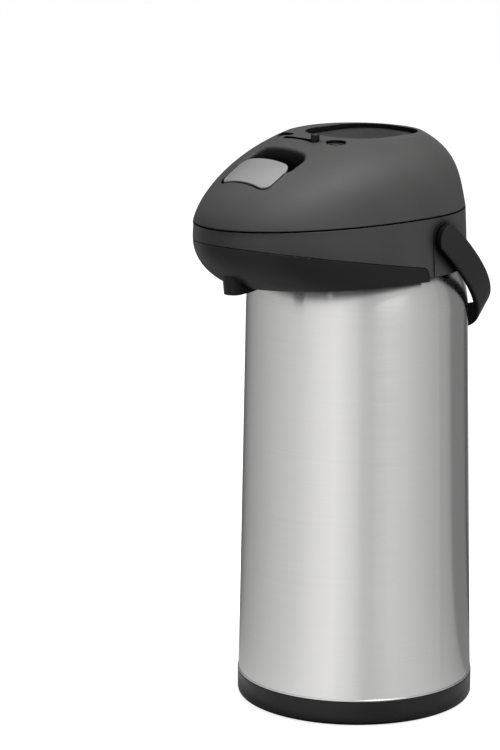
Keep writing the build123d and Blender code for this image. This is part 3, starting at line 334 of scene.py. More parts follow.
def blank_material(name: str) -> tuple[bpy.types.Material, Wiring, bpy.types.Node]:
    """Makes a material with a Principled shader joined to its output.

    Args:
        name: the material's name.

    Returns:
        The material, its wiring and the Principled node.
    """
    material = bpy.data.materials.new(name)
    material.use_nodes = True
    material.node_tree.nodes.clear()
    wires = Wiring(material.node_tree)
    shader = wires.add("ShaderNodeBsdfPrincipled")
    wires.add("ShaderNodeOutputMaterial", Surface=shader.outputs[0])
    return material, wires, shader


@dataclass(frozen=True)
class Moulded:
    """Moulded plastic or rubber: mould texture, softened polished edges, dust, and painted shade
    in recesses.

    Lengths are in metres, grain is in grains per metre, and a shade is a factor on the colour.
    """

    name: str
    colour: Colour
    grain: float
    roughness: float = 0.45
    grain_depth: float = 0.00003
    edge: float = 0.0012
    edge_lift: float = 0.02
    dust: float = 0.06
    specular: float = 0.35
    recess_reach: float = 0.04
    grain_strength: float = 0.7
    patch_shade: float = 0.86
    edge_wear: float = 0.55
    edge_gloss: float = 0.1
    wiped_scale: float = 9.0
    wiped_gloss: float = 0.06
    dust_colour: Colour = (0.32, 0.31, 0.29)
    # painted shade in recesses and under parts: colour factor, then extra roughness
    painted_recess_shade: float = 0.08
    recess_roughness: float = 0.45

    def build(self) -> bpy.types.Material:
        """Builds the material's nodes.

        Returns:
            The material.
        """
        material, wires, shader = blank_material(self.name)
        skin = Effect.MOULDED_SKIN.place(wires, Scale=self.grain)
        soft = Effect.SOFT_EDGE.place(wires, Radius=self.edge)
        wiped = Effect.WIPED.place(wires, Scale=self.wiped_scale)
        dust = Effect.DUST.place(wires, Amount=self.dust)
        # mask of painted shade for recesses and undersides
        recess = Effect.RECESS.place(wires, Reach=self.recess_reach).outputs["Mask"]
        worn = rgba(tuple(part + self.edge_lift for part in self.colour))
        edge = wires.maths("MULTIPLY", soft.outputs["Edge"], self.edge_wear)
        colour = wires.tinted(
            skin.outputs["Patches"], rgba(self.colour), rgba(self.colour, self.patch_shade)
        )
        colour = wires.tinted(edge, colour, worn)
        colour = wires.tinted(dust.outputs["Mask"], colour, rgba(self.dust_colour))
        # painted shade: recesses and undersides darkened towards black
        colour = wires.tinted(recess, colour, rgba(self.colour, self.painted_recess_shade))
        rough = wires.spread(
            wiped.outputs["Mask"], 0.0, 1.0, self.roughness, self.roughness - self.wiped_gloss
        )
        rough = wires.maths("MULTIPLY_ADD", edge, -self.edge_gloss, rough)
        # painted shade: rougher there, so that it reflects less
        rough = wires.maths("MULTIPLY_ADD", recess, self.recess_roughness, rough)
        bump = wires.add(
            "ShaderNodeBump",
            Strength=self.grain_strength,
            Distance=self.grain_depth,
            Height=skin.outputs["Height"],
            Normal=soft.outputs["Normal"],
        )
        wires.feed(
            shader,
            Base_Color=colour,
            Roughness=rough,
            # painted shade: metallic in recesses, so that the dark colour reads almost black
            Metallic=recess,
            Normal=bump.outputs[0],
            Specular_IOR_Level=self.specular,
        )
        return material


@dataclass(frozen=True)
class Brushed:
    """Steel brushed in lines round the pot, with wiped patches that change its gloss."""

    name: str
    colour: Colour
    roughness: float
    anisotropy: float
    fineness: float = 1.0
    line_depth: float = 0.000004
    line_strength: float = 0.4
    line_shade: float = 0.9
    streaks: tuple[float, float] = (-0.02, 0.03)
    wiped_scale: float = 6.0
    wiped_roughness: float = 0.03

    def build(self) -> bpy.types.Material:
        """Builds the material's nodes.

        Returns:
            The material.
        """
        material, wires, shader = blank_material(self.name)
        brushed = Effect.BRUSHED_LINES.place(wires, Fineness=self.fineness)
        wiped = Effect.WIPED.place(wires, Scale=self.wiped_scale)
        lines = brushed.outputs["Lines"]
        colour = wires.tinted(lines, rgba(self.colour), rgba(self.colour, self.line_shade))
        smoother, rougher = (self.roughness + change for change in self.streaks)
        rough = wires.spread(brushed.outputs["Streaks"], 0.0, 1.0, smoother, rougher)
        rough = wires.maths("MULTIPLY_ADD", wiped.outputs["Mask"], self.wiped_roughness, rough)
        bump = wires.add(
            "ShaderNodeBump", Strength=self.line_strength, Distance=self.line_depth, Height=lines
        )
        upright = wires.add("ShaderNodeCombineXYZ", Z=1.0)
        wires.feed(
            shader,
            Base_Color=colour,
            Roughness=rough,
            Normal=bump.outputs[0],
            Tangent=upright.outputs[0],
            Metallic=1.0,
            Anisotropic=self.anisotropy,
        )
        return material


@dataclass(frozen=True)
class Milky:
    """Milky plastic or coated glass: clear enough to glow a little, with faint clouding."""

    name: str
    colour: Colour
    roughness: float
    passing: float = 0.0
    metallic: float = 0.0
    clouding: float = 0.9
    cloud_scale: float = 30.0
    grain: float = 260.0
    grain_depth: float = 0.00001
    grain_strength: float = 0.3
    uneven_gloss: float = 0.08

    def build(self) -> bpy.types.Material:
        """Builds the material's nodes.

        Returns:
            The material.
        """
        material, wires, shader = blank_material(self.name)
        wiped = Effect.WIPED.place(wires, Scale=self.cloud_scale)
        skin = Effect.MOULDED_SKIN.place(wires, Scale=self.grain)
        colour = wires.tinted(
            wiped.outputs["Mask"], rgba(self.colour), rgba(self.colour, self.clouding)
        )
        dullest = self.roughness + self.uneven_gloss
        rough = wires.spread(skin.outputs["Patches"], 0.0, 1.0, self.roughness, dullest)
        bump = wires.add(
            "ShaderNodeBump",
            Strength=self.grain_strength,
            Distance=self.grain_depth,
            Height=skin.outputs["Height"],
        )
        wires.feed(
            shader,
            Base_Color=colour,
            Roughness=rough,
            Normal=bump.outputs[0],
            Transmission_Weight=self.passing,
            Metallic=self.metallic,
        )
        return material


class Finish(Enum):
    """Every finish on the airpot."""

    DOME = Moulded(
        "dome charcoal", (0.06, 0.0595, 0.059), roughness=0.6, grain=1100.0, edge=0.0009,
        specular=0.32,
    )
    COLLAR = Moulded(
        "collar charcoal", (0.07, 0.0695, 0.069), roughness=0.46, grain=1100.0,
        grain_depth=0.00002, edge=0.0006, specular=0.25,
    )
    HOOD = Moulded(
        "hood black", (0.011, 0.0108, 0.0108), roughness=0.36, grain=1100.0,
        grain_depth=0.00002, edge=0.0008, specular=0.22,
    )
    BAIL = Moulded(
        "bail black", (0.015, 0.0148, 0.0148), roughness=0.4, grain=1000.0, edge=0.0006,
        specular=0.3,
    )
    BASE = Moulded(
        "base black", (0.011, 0.011, 0.011), roughness=0.3, grain=1000.0,
        grain_depth=0.00002, edge=0.0008, specular=0.3, recess_reach=0.004,
    )
    BUTTON = Moulded("button black", (0.02, 0.02, 0.02), grain=700.0, grain_depth=0.00005)
    LATCH = Moulded(
        "latch grey", (0.3, 0.3, 0.3), roughness=0.36, grain=1300.0, grain_depth=0.00002,
        edge=0.0008, edge_lift=0.05, dust=0.03,
    )
    INNER = Moulded("inner black", (0.02, 0.02, 0.02), roughness=0.5, grain=800.0, edge=0.0006)
    RUBBER = Moulded(
        "foot rubber", (0.02, 0.02, 0.02), roughness=0.75, grain=500.0, grain_depth=0.00006,
        edge=0.0006, edge_lift=0.01, dust=0.1,
    )
    SEAL = Moulded(
        "seal rubber", (0.62, 0.61, 0.58), roughness=0.6, grain=500.0, edge=0.0005,
        edge_lift=0.0, dust=0.05,
    )
    STEEL = Brushed("jacket steel", (0.73, 0.725, 0.72), roughness=0.22, anisotropy=0.9)
    TURNED = Brushed(
        "turned steel", (0.62, 0.62, 0.63), roughness=0.28, anisotropy=0.0, fineness=0.6
    )
    MILKY = Milky("milky plastic", (0.8, 0.8, 0.77), roughness=0.3, passing=0.25)
    SILVERED = Milky("silvered glass", (0.86, 0.87, 0.88), roughness=0.05, metallic=1.0)

    def material(self) -> bpy.types.Material:
        """Returns the finish's material, built at its first use."""
        return bpy.data.materials.get(self.value.name) or self.value.build()

    def dress(self, *nodes: str) -> None:
        """Gives the finish to CAD nodes.

        Args:
            nodes: the nodes' names.
        """
        for name in nodes:
            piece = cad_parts[name]
            if not piece.material_slots:
                piece.data.materials.append(self.material())
            for slot in piece.material_slots:
                slot.material = self.material()
            log.info("%s wears %s", name, self.value.name)


@dataclass(frozen=True)
class Surface:
    """A surface on a grid of points, in metres, whose columns go once round."""

    points: np.ndarray
    wrap_rows: bool = False
    first_pole: bool = False
    last_pole: bool = False

    def mesh(self, name: str) -> bpy.types.Mesh:
        """Turns the grid into a mesh of quads, with triangles round a pole.

        Vertex (r, c) is joined to its neighbours in the next row and column, and a pole is a
        row that has shrunk to one vertex.

        Args:
            name: the mesh's name.

        Returns:
            The mesh, smooth shaded.
        """
        rows, columns, _ = self.points.shape
        index = np.arange(rows * columns).reshape(rows, columns)
        if self.first_pole:
            index[0] = index[0, 0]
        if self.last_pole:
            index[-1] = index[-1, 0]
        if self.wrap_rows:
            index = np.concatenate([index, index[:1]])
        index = np.concatenate([index, index[:, :1]], axis=1)
        corners = np.stack(
            [index[:-1, :-1], index[:-1, 1:], index[1:, 1:], index[1:, :-1]], axis=-1
        ).reshape(-1, 4)
        used, renumbered = np.unique(corners, return_inverse=True)
        renumbered = renumbered.reshape(corners.shape)
        faces = [tuple(dict.fromkeys(face)) for face in renumbered.tolist()]
        mesh = bpy.data.meshes.new(name)
        mesh.from_pydata(self.points.reshape(-1, 3)[used].tolist(), [], faces)
        mesh.polygons.foreach_set("use_smooth", np.ones(len(faces), dtype=bool))
        mesh.update()
        return mesh


def add_piece(
    name: str, surface: Surface, body: str, finish: Finish, replaced: str = ""
) -> bpy.types.Object:
    """Puts a surface into the scene as one piece of the object.

    Args:
        name: the piece's name.
        surface: its shape.
        body: the body that it rides on.
        finish: its finish.
        replaced: the CAD node that it stands for, if any.

    Returns:
        The new object.
    """
    piece = bpy.data.objects.new(name, surface.mesh(name))
    bpy.context.scene.collection.objects.link(piece)
    piece.data.materials.append(finish.material())
    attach(piece, body)
    if replaced:
        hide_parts(replaced)
    log.info("%s: %d faces on %s", name, len(piece.data.polygons), body)
    return piece


def full_turn(count: int) -> np.ndarray:
    """Returns evenly spaced angles round one full turn."""
    return np.linspace(0, 2 * np.pi, count, endpoint=False)


def turned(profile: np.ndarray, segments: int) -> np.ndarray:
    """Turns a profile about Z: point (r, z) at angle a goes to (r cos a, r sin a, z).

    Args:
        profile: (n, 2) radii and heights in millimetres.
        segments: points round the circle.

    Returns:
        (n, segments, 3) points in millimetres.
    """
    angle = full_turn(segments)
    radius, height = profile[:, 0, None], profile[:, 1, None]
    return np.stack(
        [radius * np.cos(angle), radius * np.sin(angle), height + 0 * angle], axis=-1
    )


def ring_profile(
    radius: float, height: float, half_width: float, half_height: float,
    steps: int = 14, power: float = 2.0,
) -> np.ndarray:
    """Closed section of a ring: a superellipse about (radius, height).

    With t round the section, r = radius + half_width |cos t|^(2/p) and
    z = height + half_height |sin t|^(2/p), signed as cos and sin are.

    Args:
        radius: the section's centre from the axis, in millimetres.
        height: the section's centre above the table.
        half_width: half its width.
        half_height: half its height.
        steps: points round it.
        power: 2 for an ellipse, more for a squarer section.

    Returns:
        (steps, 2) radii and heights.
    """
    t = full_turn(steps)
    bend = 2 / power
    across = np.sign(np.cos(t)) * np.abs(np.cos(t)) ** bend
    upward = np.sign(np.sin(t)) * np.abs(np.sin(t)) ** bend
    return np.stack([radius + half_width * across, height + half_height * upward], axis=-1)


def with_ends(middle: np.ndarray, rows: np.ndarray) -> np.ndarray:
    """Closes a tube with one more row at each end, shrunk to the middle of the end row.

    Args:
        middle: (n, 1, 3) middles of the rows.
        rows: (n, columns, 3) points of the tube.

    Returns:
        (n + 2, columns, 3) points, with a pole in the first and last row.
    """
    return np.concatenate([middle[:1] + 0 * rows[:1], rows, middle[-1:] + 0 * rows[:1]])


@dataclass
class PhotoCamera:
    """The camera, found from the circles of the base and the jacket.

    Places are in metres, angles in degrees, and lens and sensor in millimetres.
    """

    bearing: float = CAMERA_BEARING
    distance: float = 2.2296
    height: float = 0.7383
    pitch: float = 12.81
    yaw: float = 1.92
    lens: float = 156.05
    sensor: float = 36.0
    farthest: float = 50.0

    def build(self) -> None:
        """Makes the camera and sets it as the scene's own."""
        bearing, pitch, yaw = (math.radians(v) for v in (self.bearing, self.pitch, self.yaw))
        aside = Vector((math.cos(bearing), math.sin(bearing), 0))
        away = Vector((-math.sin(bearing), math.cos(bearing), 0))
        look = (
            aside * (-math.sin(yaw) * math.cos(pitch))
            + away * (math.cos(yaw) * math.cos(pitch))
            - Vector((0, 0, math.sin(pitch)))
        )
        data = bpy.data.cameras.new("photo camera")
        data.sensor_width = self.sensor
        data.lens = self.lens
        data.clip_end = self.farthest
        camera = bpy.data.objects.new("photo camera", data)
        camera.location = -away * self.distance + Vector((0, 0, self.height))
        camera.rotation_mode = "QUATERNION"
        camera.rotation_quaternion = look.to_track_quat("-Z", "Y")
        bpy.context.scene.collection.objects.link(camera)
        bpy.context.scene.camera = camera


@dataclass(frozen=True)
class Lamp:
    """A soft rectangular lamp, in metres, degrees from the camera's side and watts."""

    name: str
    angle: float
    distance: float
    height: float
    size: tuple[float, float]
    watts: float


@dataclass
class Studio:
    """Pale floor, white surroundings, soft lamps and a grey wall that only reflections show.

    The wall's levels are its brightness by the angle from the camera's side, in degrees.
    """

    bearing: float = CAMERA_BEARING
    surround: float = 0.1
    key: Lamp = Lamp("key", 48.0, 0.9, 2.0, (0.9, 0.9), 44.0)
    rim: Lamp = Lamp("rim", -140.0, 0.8, 1.6, (0.9, 0.5), 4.0)
    lamp_aim: float = 0.25
    floor_size: float = 30.0
    floor_drop: float = 0.0002
    floor_seen: float = 0.9
    floor_bounce: float = 0.15
    floor_glow: float = 0.87
    floor_glow_mirrored: float = 0.2
    floor_roughness: float = 0.9
    wall_distance: float = 0.5
    wall_top: float = 1.7
    ground_inner: float = 0.1
    ground_height: float = 0.0004
    wall_levels: tuple[tuple[float, float], ...] = (
        (-180, 0.1), (-152, 0.14), (-128, 0.4), (-85, 0.66), (-55, 0.82), (-36, 1.0), (-19, 1.08),
        (-2, 0.88), (7, 0.68), (15, 0.64), (32, 0.74), (50, 0.72), (70, 0.62), (91, 0.49),
        (104, 0.42), (106, 0.26), (138, 0.24), (141, 0.1), (151, 0.1), (154, 0.42), (180, 0.42),
    )

    def lamp(self, lamp: Lamp) -> None:
        """Adds a lamp that faces the pot and that the camera doesn't see.

        Args:
            lamp: its place, size and power. Its angle is positive to the camera's right.
        """
        turn = math.radians(self.bearing + lamp.angle)
        aside, ahead = lamp.distance * math.sin(turn), -lamp.distance * math.cos(turn)
        place = Vector((aside, ahead, lamp.height))
        data = bpy.data.lights.new(lamp.name, "AREA")
        data.shape = "RECTANGLE"
        data.size, data.size_y = lamp.size
        data.energy = lamp.watts
        made = bpy.data.objects.new(lamp.name, data)
        made.location = place
        made.rotation_mode = "QUATERNION"
        aim = Vector((0, 0, self.lamp_aim)) - place
        made.rotation_quaternion = aim.to_track_quat("-Z", "Y")
        made.visible_camera = False
        bpy.context.scene.collection.objects.link(made)

    def wall(self) -> None:
        """Adds a round wall with the ground inside it, which show in reflections only.

        Its brightness at an angle runs straight from one of the named levels to the next.
        """
        turn = np.radians(np.arange(-180, 180))
        place = np.radians(self.bearing) + turn
        ring = self.wall_distance * np.stack([np.sin(place), -np.cos(place)], axis=-1)
        near = self.ground_inner / self.wall_distance
        sections = ((near, self.ground_height), (1.0, self.ground_height), (1.0, self.wall_top))
        rows = [np.insert(scale * ring, 2, height, axis=1) for scale, height in sections]
        mesh = Surface(np.stack(rows)).mesh("reflected wall")
        angles, levels = zip(*self.wall_levels)
        level = np.tile(np.interp(np.degrees(turn), angles, levels), len(rows))
        mesh.attributes.new("level", "FLOAT", "POINT").data.foreach_set("value", level)
        material, wires, shader = blank_material("reflected wall")
        bright = wires.add("ShaderNodeAttribute", {"attribute_name": "level"}).outputs["Fac"]
        wires.feed(
            shader,
            Base_Color=BLACK,
            Specular_IOR_Level=0.0,
            Emission_Color=WHITE,
            Emission_Strength=bright,
        )
        mesh.materials.append(material)
        wall = bpy.data.objects.new("reflected wall", mesh)
        wall.visible_camera = wall.visible_diffuse = wall.visible_shadow = False
        wall.visible_transmission = False
        bpy.context.scene.collection.objects.link(wall)

    def floor(self) -> None:
        """Adds the floor: white where it is seen, and it keeps a soft shadow."""
        half = self.floor_size / 2
        corners = [(-half, -half, 0), (half, -half, 0), (half, half, 0), (-half, half, 0)]
        mesh = bpy.data.meshes.new("floor")
        mesh.from_pydata(corners, [], [(0, 1, 2, 3)])
        material, wires, shader = blank_material("pale floor")
        path = wires.add("ShaderNodeLightPath").outputs
        colour = wires.tinted(
            path["Is Camera Ray"], rgba((self.floor_bounce,) * 3), rgba((self.floor_seen,) * 3)
        )
        glow = wires.maths("MULTIPLY", path["Is Camera Ray"], self.floor_glow)
        glow = wires.maths("MULTIPLY_ADD", path["Is Glossy Ray"], self.floor_glow_mirrored, glow)
        wires.feed(
            shader,
            Base_Color=colour,
            Roughness=self.floor_roughness,
            Specular_IOR_Level=0.0,
            Emission_Color=WHITE,
            Emission_Strength=glow,
        )
        mesh.materials.append(material)
        floor = bpy.data.objects.new("floor", mesh)
        floor.location.z = -self.floor_drop
        bpy.context.scene.collection.objects.link(floor)

    def surroundings(self) -> None:
        """Makes the world: white to rays that show it, and dim to those that light the pot."""
        world = bpy.data.worlds.new("studio")
        bpy.context.scene.world = world
        world.use_nodes = True
        world.node_tree.nodes.clear()
        wires = Wiring(world.node_tree)
        path = wires.add("ShaderNodeLightPath").outputs
        seen = wires.maths("MAXIMUM", path["Is Camera Ray"], path["Is Glossy Ray"])
        seen = wires.maths("MAXIMUM", seen, path["Is Transmission Ray"])
        strength = wires.spread(seen, 0.0, 1.0, self.surround, 1.0)
        back = wires.add("ShaderNodeBackground", Color=WHITE, Strength=strength)
        wires.add("ShaderNodeOutputWorld", Surface=back.outputs[0])

    def build(self) -> None:
        """Makes the surroundings, the floor, the lamps and the wall."""
        self.surroundings()
        self.floor()
        self.lamp(self.key)
        self.lamp(self.rim)
        self.wall()


@dataclass
class Foot:
    """The swivel foot: turntable, rubber ring and pin. Sizes are in millimetres."""

    ring_radius: float = 62.5
    ring_half_width: float = 3.5
    ring_height: float = 2.4
    ring_steps: int = 24
    ring_squareness: float = 6.0
    notches: int = 72
    notch_steps: int = 8
    notch_depth: float = 0.5
    notch_slope: float = 3.0
    notch_offset: float = 1.6
    tread_share: float = 0.35
    rib_inner: float = 15.0
    rib_outer: float = 58.0
    rib_radial_steps: int = 60
    ribs: int = 24
    rib_steps: int = 16
    rib_foot: float = 1.4
    rib_slope: float = 0.4
    rib_depth: float = 0.5
    round_rib_foot: float = 1.6
    round_rib_inset: float = 1.5
    round_rib_middle: float = 36.0
    plate_face: float = 1.36
    plate_back: float = 1.5

    def grip_ring(self) -> Surface:
        """The rubber ring with cross grooves in its tread.

        A squared ring section is turned about Z. Where the section faces down, its height
        rises by a groove depth times a rounded square wave of the angle.

        Returns:
            The closed ring.
        """
        half_height = self.ring_height / 2
        section = ring_profile(
            self.ring_radius, half_height, self.ring_half_width, half_height,
            self.ring_steps, self.ring_squareness,
        )
        columns = self.notches * self.notch_steps
        points = turned(section, columns)
        wave = self.notch_slope * np.cos(self.notches * full_turn(columns)) - self.notch_offset
        groove = np.clip(wave, 0, 1)
        below = np.clip(1 - points[..., 2] / (self.tread_share * self.ring_height), 0, 1)
        points[..., 2] += self.notch_depth * below * groove
        return Surface(points * MM, wrap_rows=True)

    def ribbed_plate(self) -> Surface:
        """The turntable's ribbed underside: a thin ring whose lower face has radial ribs.

        The lower face lies at z = face - depth w, where w is 1 on a rib and 0 between ribs
        and slopes from one to the other, with three round ribs at fixed radii.

        Returns:
            The closed plate.
        """
        radii = np.linspace(self.rib_inner, self.rib_outer, self.rib_radial_steps)
        angle = full_turn(self.ribs * self.rib_steps)
        across = np.abs((angle * self.ribs / (2 * np.pi) + 0.5) % 1 - 0.5)
        arc = across[None, :] * 2 * np.pi * radii[:, None] / self.ribs
        radial = np.clip((self.rib_foot - arc) / self.rib_slope, 0, 1)
        middles = np.array([
            self.rib_inner + self.round_rib_inset,
            self.round_rib_middle,
            self.rib_outer - self.round_rib_inset,
        ])
        away = np.abs(radii[:, None] - middles).min(axis=1, keepdims=True)
        round_ribs = np.clip((self.round_rib_foot - away) / self.rib_slope, 0, 1)
        faces = np.stack([radii, np.full_like(radii, self.plate_face)], axis=-1)
        lower = turned(faces, len(angle))
        lower[..., 2] -= self.rib_depth * np.maximum(radial, round_ribs)
        back = [[self.rib_outer, self.plate_back], [self.rib_inner, self.plate_back]]
        upper = turned(np.array(back), len(angle))
        return Surface(np.concatenate([upper, lower]) * MM, wrap_rows=True)

    def build(self) -> None:
        """Dresses the foot and adds its grip ring and ribs."""
        Finish.INNER.dress("turntable")
        Finish.TURNED.dress("swivel_pin")
        add_piece("grip_ring", self.grip_ring(), "foot", Finish.RUBBER, "foot_ring")
        add_piece("turntable_ribs", self.ribbed_plate(), "foot", Finish.INNER)


@dataclass(frozen=True)
class Screw:
    """A pan-head screw with a cross recess and a coarse thread, head down, in millimetres."""

    place: tuple[float, float, float]
    length: float = 14.0
    head_radius: float = 3.2
    head_height: float = 2.2
    head_rows: int = 16
    crown: float = 0.35
    cross_half_width: float = 0.42
    cross_flank: float = 0.15
    cross_reach: float = 2.0
    cross_end: float = 0.3
    cross_depth: float = 1.1
    shank_radius: float = 1.6
    shank_neck: float = 0.2
    shank_rows: int = 70
    thread_start: float = 0.3
    thread_pitch: float = 1.25
    thread_height: float = 0.18
    thread_middle: float = -0.22
    tip_length: float = 1.6
    tip_radius: float = 0.4
    tip_inset: float = 0.1
    columns: int = 64

    def surface(self) -> Surface:
        """Works out the screw.

        The head's top is h(r) = H (1 - crown (r/R)^2), less a recess where |x| or |y| is
        small; the shank's radius is r0 + d cos(a - 2 pi z / pitch), a helical thread. It is
        worked out with the head up and then turned over.

        Returns:
            The closed screw, in its place.
        """
        angle = full_turn(self.columns)
        head = np.linspace(0, 1, self.head_rows)[:, None] * self.head_radius
        x, y = head * np.cos(angle), head * np.sin(angle)
        arm = np.minimum(np.abs(x), np.abs(y))
        within = np.clip((self.cross_half_width - arm) / self.cross_flank, 0, 1)
        recess = within * np.clip((self.cross_reach - head) / self.cross_end, 0, 1)
        dome = self.head_height * (1 - self.crown * (head / self.head_radius) ** 2)
        cap = np.stack([x, y, dome - self.cross_depth * recess], axis=-1)
        neck = self.shank_radius + self.shank_neck
        rim = turned(np.array([[self.head_radius, 0.0], [neck, 0.0]]), self.columns)
        thread_end = self.length - self.tip_length
        drop = np.linspace(self.thread_start, thread_end, self.shank_rows)[:, None]
        helix = np.cos(angle[None, :] + 2 * np.pi * drop / self.thread_pitch)
        radius = self.shank_radius + self.thread_middle + self.thread_height * helix
        shank = np.stack(
            [radius * np.cos(angle), radius * np.sin(angle), -drop + 0 * radius], axis=-1
        )
        shoulder = [self.tip_radius, -self.length + self.tip_radius]
        tip = turned(np.array([shoulder, [0.0, -self.length + self.tip_inset]]), self.columns)
        points = np.concatenate([cap, rim, shank, tip]) * np.array([1.0, -1.0, -1.0])
        placed = (points + np.array(self.place))[::-1]
        return Surface(placed * MM, first_pole=True, last_pole=True)


def screw_set(name: str, body: str, screws: list[Screw], replaced: str) -> None:
    """Adds several screws as one piece.

    Args:
        name: the piece's name.
        body: the body that holds them.
        screws: the screws.
        replaced: the CAD node that they stand for.
    """
    meshes = [screw.surface().mesh(name) for screw in screws]
    parts = [bpy.data.objects.new(f"{name}_{n}", mesh) for n, mesh in enumerate(meshes)]
    for part in parts:
        bpy.context.scene.collection.objects.link(part)
        part.data.materials.append(Finish.TURNED.material())
    with bpy.context.temp_override(
        active_object=parts[0], selected_editable_objects=parts, object=parts[0]
    ):
        bpy.ops.object.join()
    parts[0].name = name
    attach(parts[0], body)
    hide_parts(replaced)
    log.info("%s: %d screws on %s", name, len(screws), body)


@dataclass
class Pot:
    """Base, jacket, flask, collar and hood. Sizes are in millimetres."""

    base_height: float = 18.0
    jacket_foot: float = 82.9
    jacket_shoulder: float = 77.6
    shoulder_height: float = 284.0
    hem_inset: float = 0.05
    hem_half_width: float = 0.6
    hem_half_height: float = 0.75
    hem_segments: int = 256
    weld_start: float = 1.5
    weld_half_width: float = 0.5
    weld_half_height: float = 0.2
    weld_sunk: float = 0.1
    weld_rows: int = 60
    weld_steps: int = 12
    spout_reach: float = 120.5
    spout_bottom: float = 306.9
    lip_radius: float = 5.95
    lip_rise: float = 0.55
    lip_half_width: float = 0.75
    lip_half_height: float = 0.5
    lip_segments: int = 64
    hood_screw_aside: float = 40.0
    hood_screw_forward: float = 80.0
    hood_screw_height: float = 312.4
    hood_screw_length: float = 15.0

    def hem(self) -> Surface:
        """The jacket's rolled hem on the base: a small ring of elliptic section.

        Returns:
            The closed ring.
        """
        section = ring_profile(
            self.jacket_foot - self.hem_inset, self.base_height + self.hem_half_height,
            self.hem_half_width, self.hem_half_height,
        )
        return Surface(turned(section, self.hem_segments) * MM, wrap_rows=True)

    def weld(self) -> Surface:
        """The jacket's weld line at the rear: a thin bead of elliptic section up the wall.

        At height z the wall's radius is linear between foot and shoulder, and the bead's
        middle lies a little inside it, so that only its back stands proud.

        Returns:
            The closed bead.
        """
        foot = self.base_height + self.weld_start
        height = np.linspace(foot, self.shoulder_height, self.weld_rows)[:, None]
        share = (height - self.base_height) / (self.shoulder_height - self.base_height)
        radius = self.jacket_foot + (self.jacket_shoulder - self.jacket_foot) * share
        turn = full_turn(self.weld_steps)[None, :]
        out = radius - self.weld_sunk + self.weld_half_height * np.sin(turn)
        angle = np.pi / 2 + self.weld_half_width * np.cos(turn) / radius
        points = np.stack(
            [out * np.cos(angle), out * np.sin(angle), height + 0 * turn], axis=-1
        )
        closed = with_ends(points.mean(axis=1, keepdims=True), points)[::-1]
        return Surface(closed * MM, first_pole=True, last_pole=True)

    def lip(self) -> Surface:
        """The spout's rounded lip: a ring about the spout's own upright axis.

        Returns:
            The closed ring.
        """
        section = ring_profile(
            self.lip_radius, self.spout_bottom + self.lip_rise,
            self.lip_half_width, self.lip_half_height,
        )
        points = turned(section, self.lip_segments) + np.array([0, -self.spout_reach, 0])
        return Surface(points * MM, wrap_rows=True)

    def build(self) -> None:
        """Dresses the pot's nodes and adds its small trim."""
        Finish.BASE.dress("base_cup")
        Finish.STEEL.dress("steel_jacket")
        Finish.SILVERED.dress("flask_outer_glass", "flask_inner_glass")
        Finish.RUBBER.dress("flask_cushion")
        Finish.SEAL.dress("neck_gasket", "pipe_seal")
        Finish.COLLAR.dress("collar", "handle_bracket_left", "handle_bracket_right")
        Finish.HOOD.dress("spout_hood")
        Finish.MILKY.dress("delivery_pipe", "riser_holder", "riser_tube")
        Finish.BAIL.dress("handle_pins")
        Finish.TURNED.dress("hinge_pin")
        add_piece("jacket_hem", self.hem(), "pot", Finish.STEEL)
        add_piece("jacket_weld", self.weld(), "pot", Finish.STEEL)
        add_piece("spout_lip", self.lip(), "pot", Finish.HOOD)
        aside, ahead = self.hood_screw_aside, -self.hood_screw_forward
        places = [(side * aside, ahead, self.hood_screw_height) for side in (1, -1)]
        screws = [Screw(place, self.hood_screw_length) for place in places]
        screw_set("hood_cross_screws", "pot", screws, "hood_screws")


@dataclass
class Handle:
    """The bail handle."""

    def build(self) -> None:
        """Dresses the bail."""
        Finish.BAIL.dress("bail_handle")


@dataclass
class Lid:
    """The dome with its latch and lock. Sizes are in millimetres."""

    mark_reach: float = 47.98
    mark_offset: float = 24.8
    mark_height: float = 403.1
    mark_radius: float = 3.6
    mark_rise: float = 0.1
    mark_half_width: float = 0.45
    mark_half_height: float = 0.35
    mark_segments: int = 64
    screw_places: tuple[tuple[float, float], ...] = ((52, -32), (-52, -32), (52, 27), (-52, 27))
    screw_height: float = 354.1

    def mark(self, side: int) -> Surface:
        """A raised ring in a round mark: a small ring section about the mark's axis.

        Args:
            side: 1 for the right mark and -1 for the left one.

        Returns:
            The closed ring.
        """
        section = ring_profile(
            self.mark_radius, self.mark_height + self.mark_rise,
            self.mark_half_width, self.mark_half_height,
        )
        points = turned(section, self.mark_segments)
        middle = np.array([side * self.mark_offset, -self.mark_reach, 0])
        return Surface((points + middle) * MM, wrap_rows=True)

    def build(self) -> None:
        """Dresses the lid's nodes and adds its screws and marks."""
        Finish.DOME.dress("lid_cover")
        Finish.INNER.dress("lid_base", "lock_guide")
        Finish.SEAL.dress("lid_gasket", "air_valve")
        Finish.TURNED.dress("latch_pin", "latch_spring")
        Finish.BUTTON.dress("pump_button", "lock_slider")
        Finish.LATCH.dress("latch_lever")
        for side, name in ((1, "right"), (-1, "left")):
            add_piece(f"mark_ring_{name}", self.mark(side), "lid", Finish.INNER)
        screws = [Screw((x, y, self.screw_height)) for x, y in self.screw_places]
        screw_set("lid_cross_screws", "lid", screws, "lid_screws")


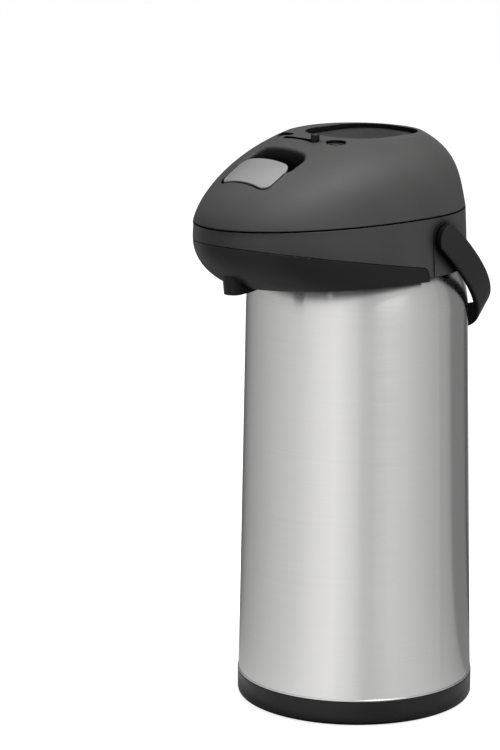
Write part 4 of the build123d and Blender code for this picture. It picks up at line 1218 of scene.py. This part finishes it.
@dataclass
class Pump:
    """The bellows and its return spring, which fold together as the button goes down.

    Sizes are in millimetres, apart from the stroke, which is in metres.
    """

    stroke: float = 0.026
    folds: int = 9
    fold_steps: int = 12
    fold_depth: float = 6.0
    end_collar: float = 4.0
    wall: float = 1.2
    bellows_segments: int = 120
    turns: int = 8
    turn_steps: int = 40
    wire: float = 0.9
    wire_steps: int = 12

    def bellows(self) -> Surface:
        """The folded wall, as a closed section turned about Z.

        Over the folded length its radius is waist + depth (1 - cos(2 pi n s)) / 2, with n
        folds and s from 0 to 1, and the inner face is one wall's thickness inside that.

        Returns:
            The closed wall.
        """
        low, high = (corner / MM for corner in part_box("bellows"))
        share = np.linspace(0, 1, self.folds * self.fold_steps + 1)
        length = high.z - low.z - 2 * self.end_collar
        waist = high.x - self.fold_depth
        radius = waist + self.fold_depth * (1 - np.cos(2 * np.pi * self.folds * share)) / 2
        height = low.z + self.end_collar + length * share
        radius = np.concatenate([[waist], radius, [waist]])
        height = np.concatenate([[low.z], height, [high.z]])
        outer = np.stack([radius, height], axis=-1)
        inner = np.stack([radius - self.wall, height], axis=-1)[::-1]
        points = turned(np.concatenate([outer, inner]), self.bellows_segments)
        return Surface(points * MM, wrap_rows=True)

    def spring(self) -> Surface:
        """The coil: a round wire carried along a helix about Z, closed at both ends.

        At turn t the wire's middle is (R cos 2 pi t, R sin 2 pi t, z0 + pitch t), and its
        section lies in the outward direction and the one square to it and to the wire.

        Returns:
            The closed wire.
        """
        low, high = (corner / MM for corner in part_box("pump_spring"))
        radius = high.x - self.wire
        rise = high.z - low.z - 2 * self.wire
        turn = 2 * np.pi * np.linspace(0, self.turns, self.turns * self.turn_steps + 1)[:, None]
        outward = np.concatenate([np.cos(turn), np.sin(turn), 0 * turn], axis=1)
        slope = rise / (2 * np.pi * self.turns * radius)
        ahead = np.concatenate([-np.sin(turn), np.cos(turn), 0 * turn + slope], axis=1)
        ahead /= np.linalg.norm(ahead, axis=1, keepdims=True)
        square = np.cross(ahead, outward)
        middle = radius * outward
        middle[:, 2] = low.z + self.wire + rise * turn[:, 0] / turn[-1, 0]
        around = full_turn(self.wire_steps)[None, :, None]
        section = np.cos(around) * outward[:, None] + np.sin(around) * square[:, None]
        coil = with_ends(middle[:, None], middle[:, None] + self.wire * section)
        return Surface(coil * MM, first_pole=True, last_pole=True)

    def build(self) -> None:
        """Adds both pieces, each with a mesh of its own."""
        made = (
            ("bellows_wall", self.bellows(), Finish.MILKY, "clear_plastic", "bellows"),
            ("pump_coil", self.spring(), Finish.TURNED, "spring_steel", "pump_spring"),
        )
        for name, surface, finish, slot, node in made:
            piece = add_piece(name, surface, "lid", finish, node)
            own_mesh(piece)


def main() -> None:
    """Builds the camera, the studio and every part of the airpot."""
    logging.basicConfig(level=logging.INFO, format="%(message)s")
    bpy.context.scene.view_settings.view_transform = "Standard"
    PhotoCamera().build()
    Studio().build()
    for part in (Foot(), Pot(), Handle(), Lid(), Pump()):
        log.info("building %s", type(part).__name__)
        part.build()


if __name__ == "__main__":
    main()
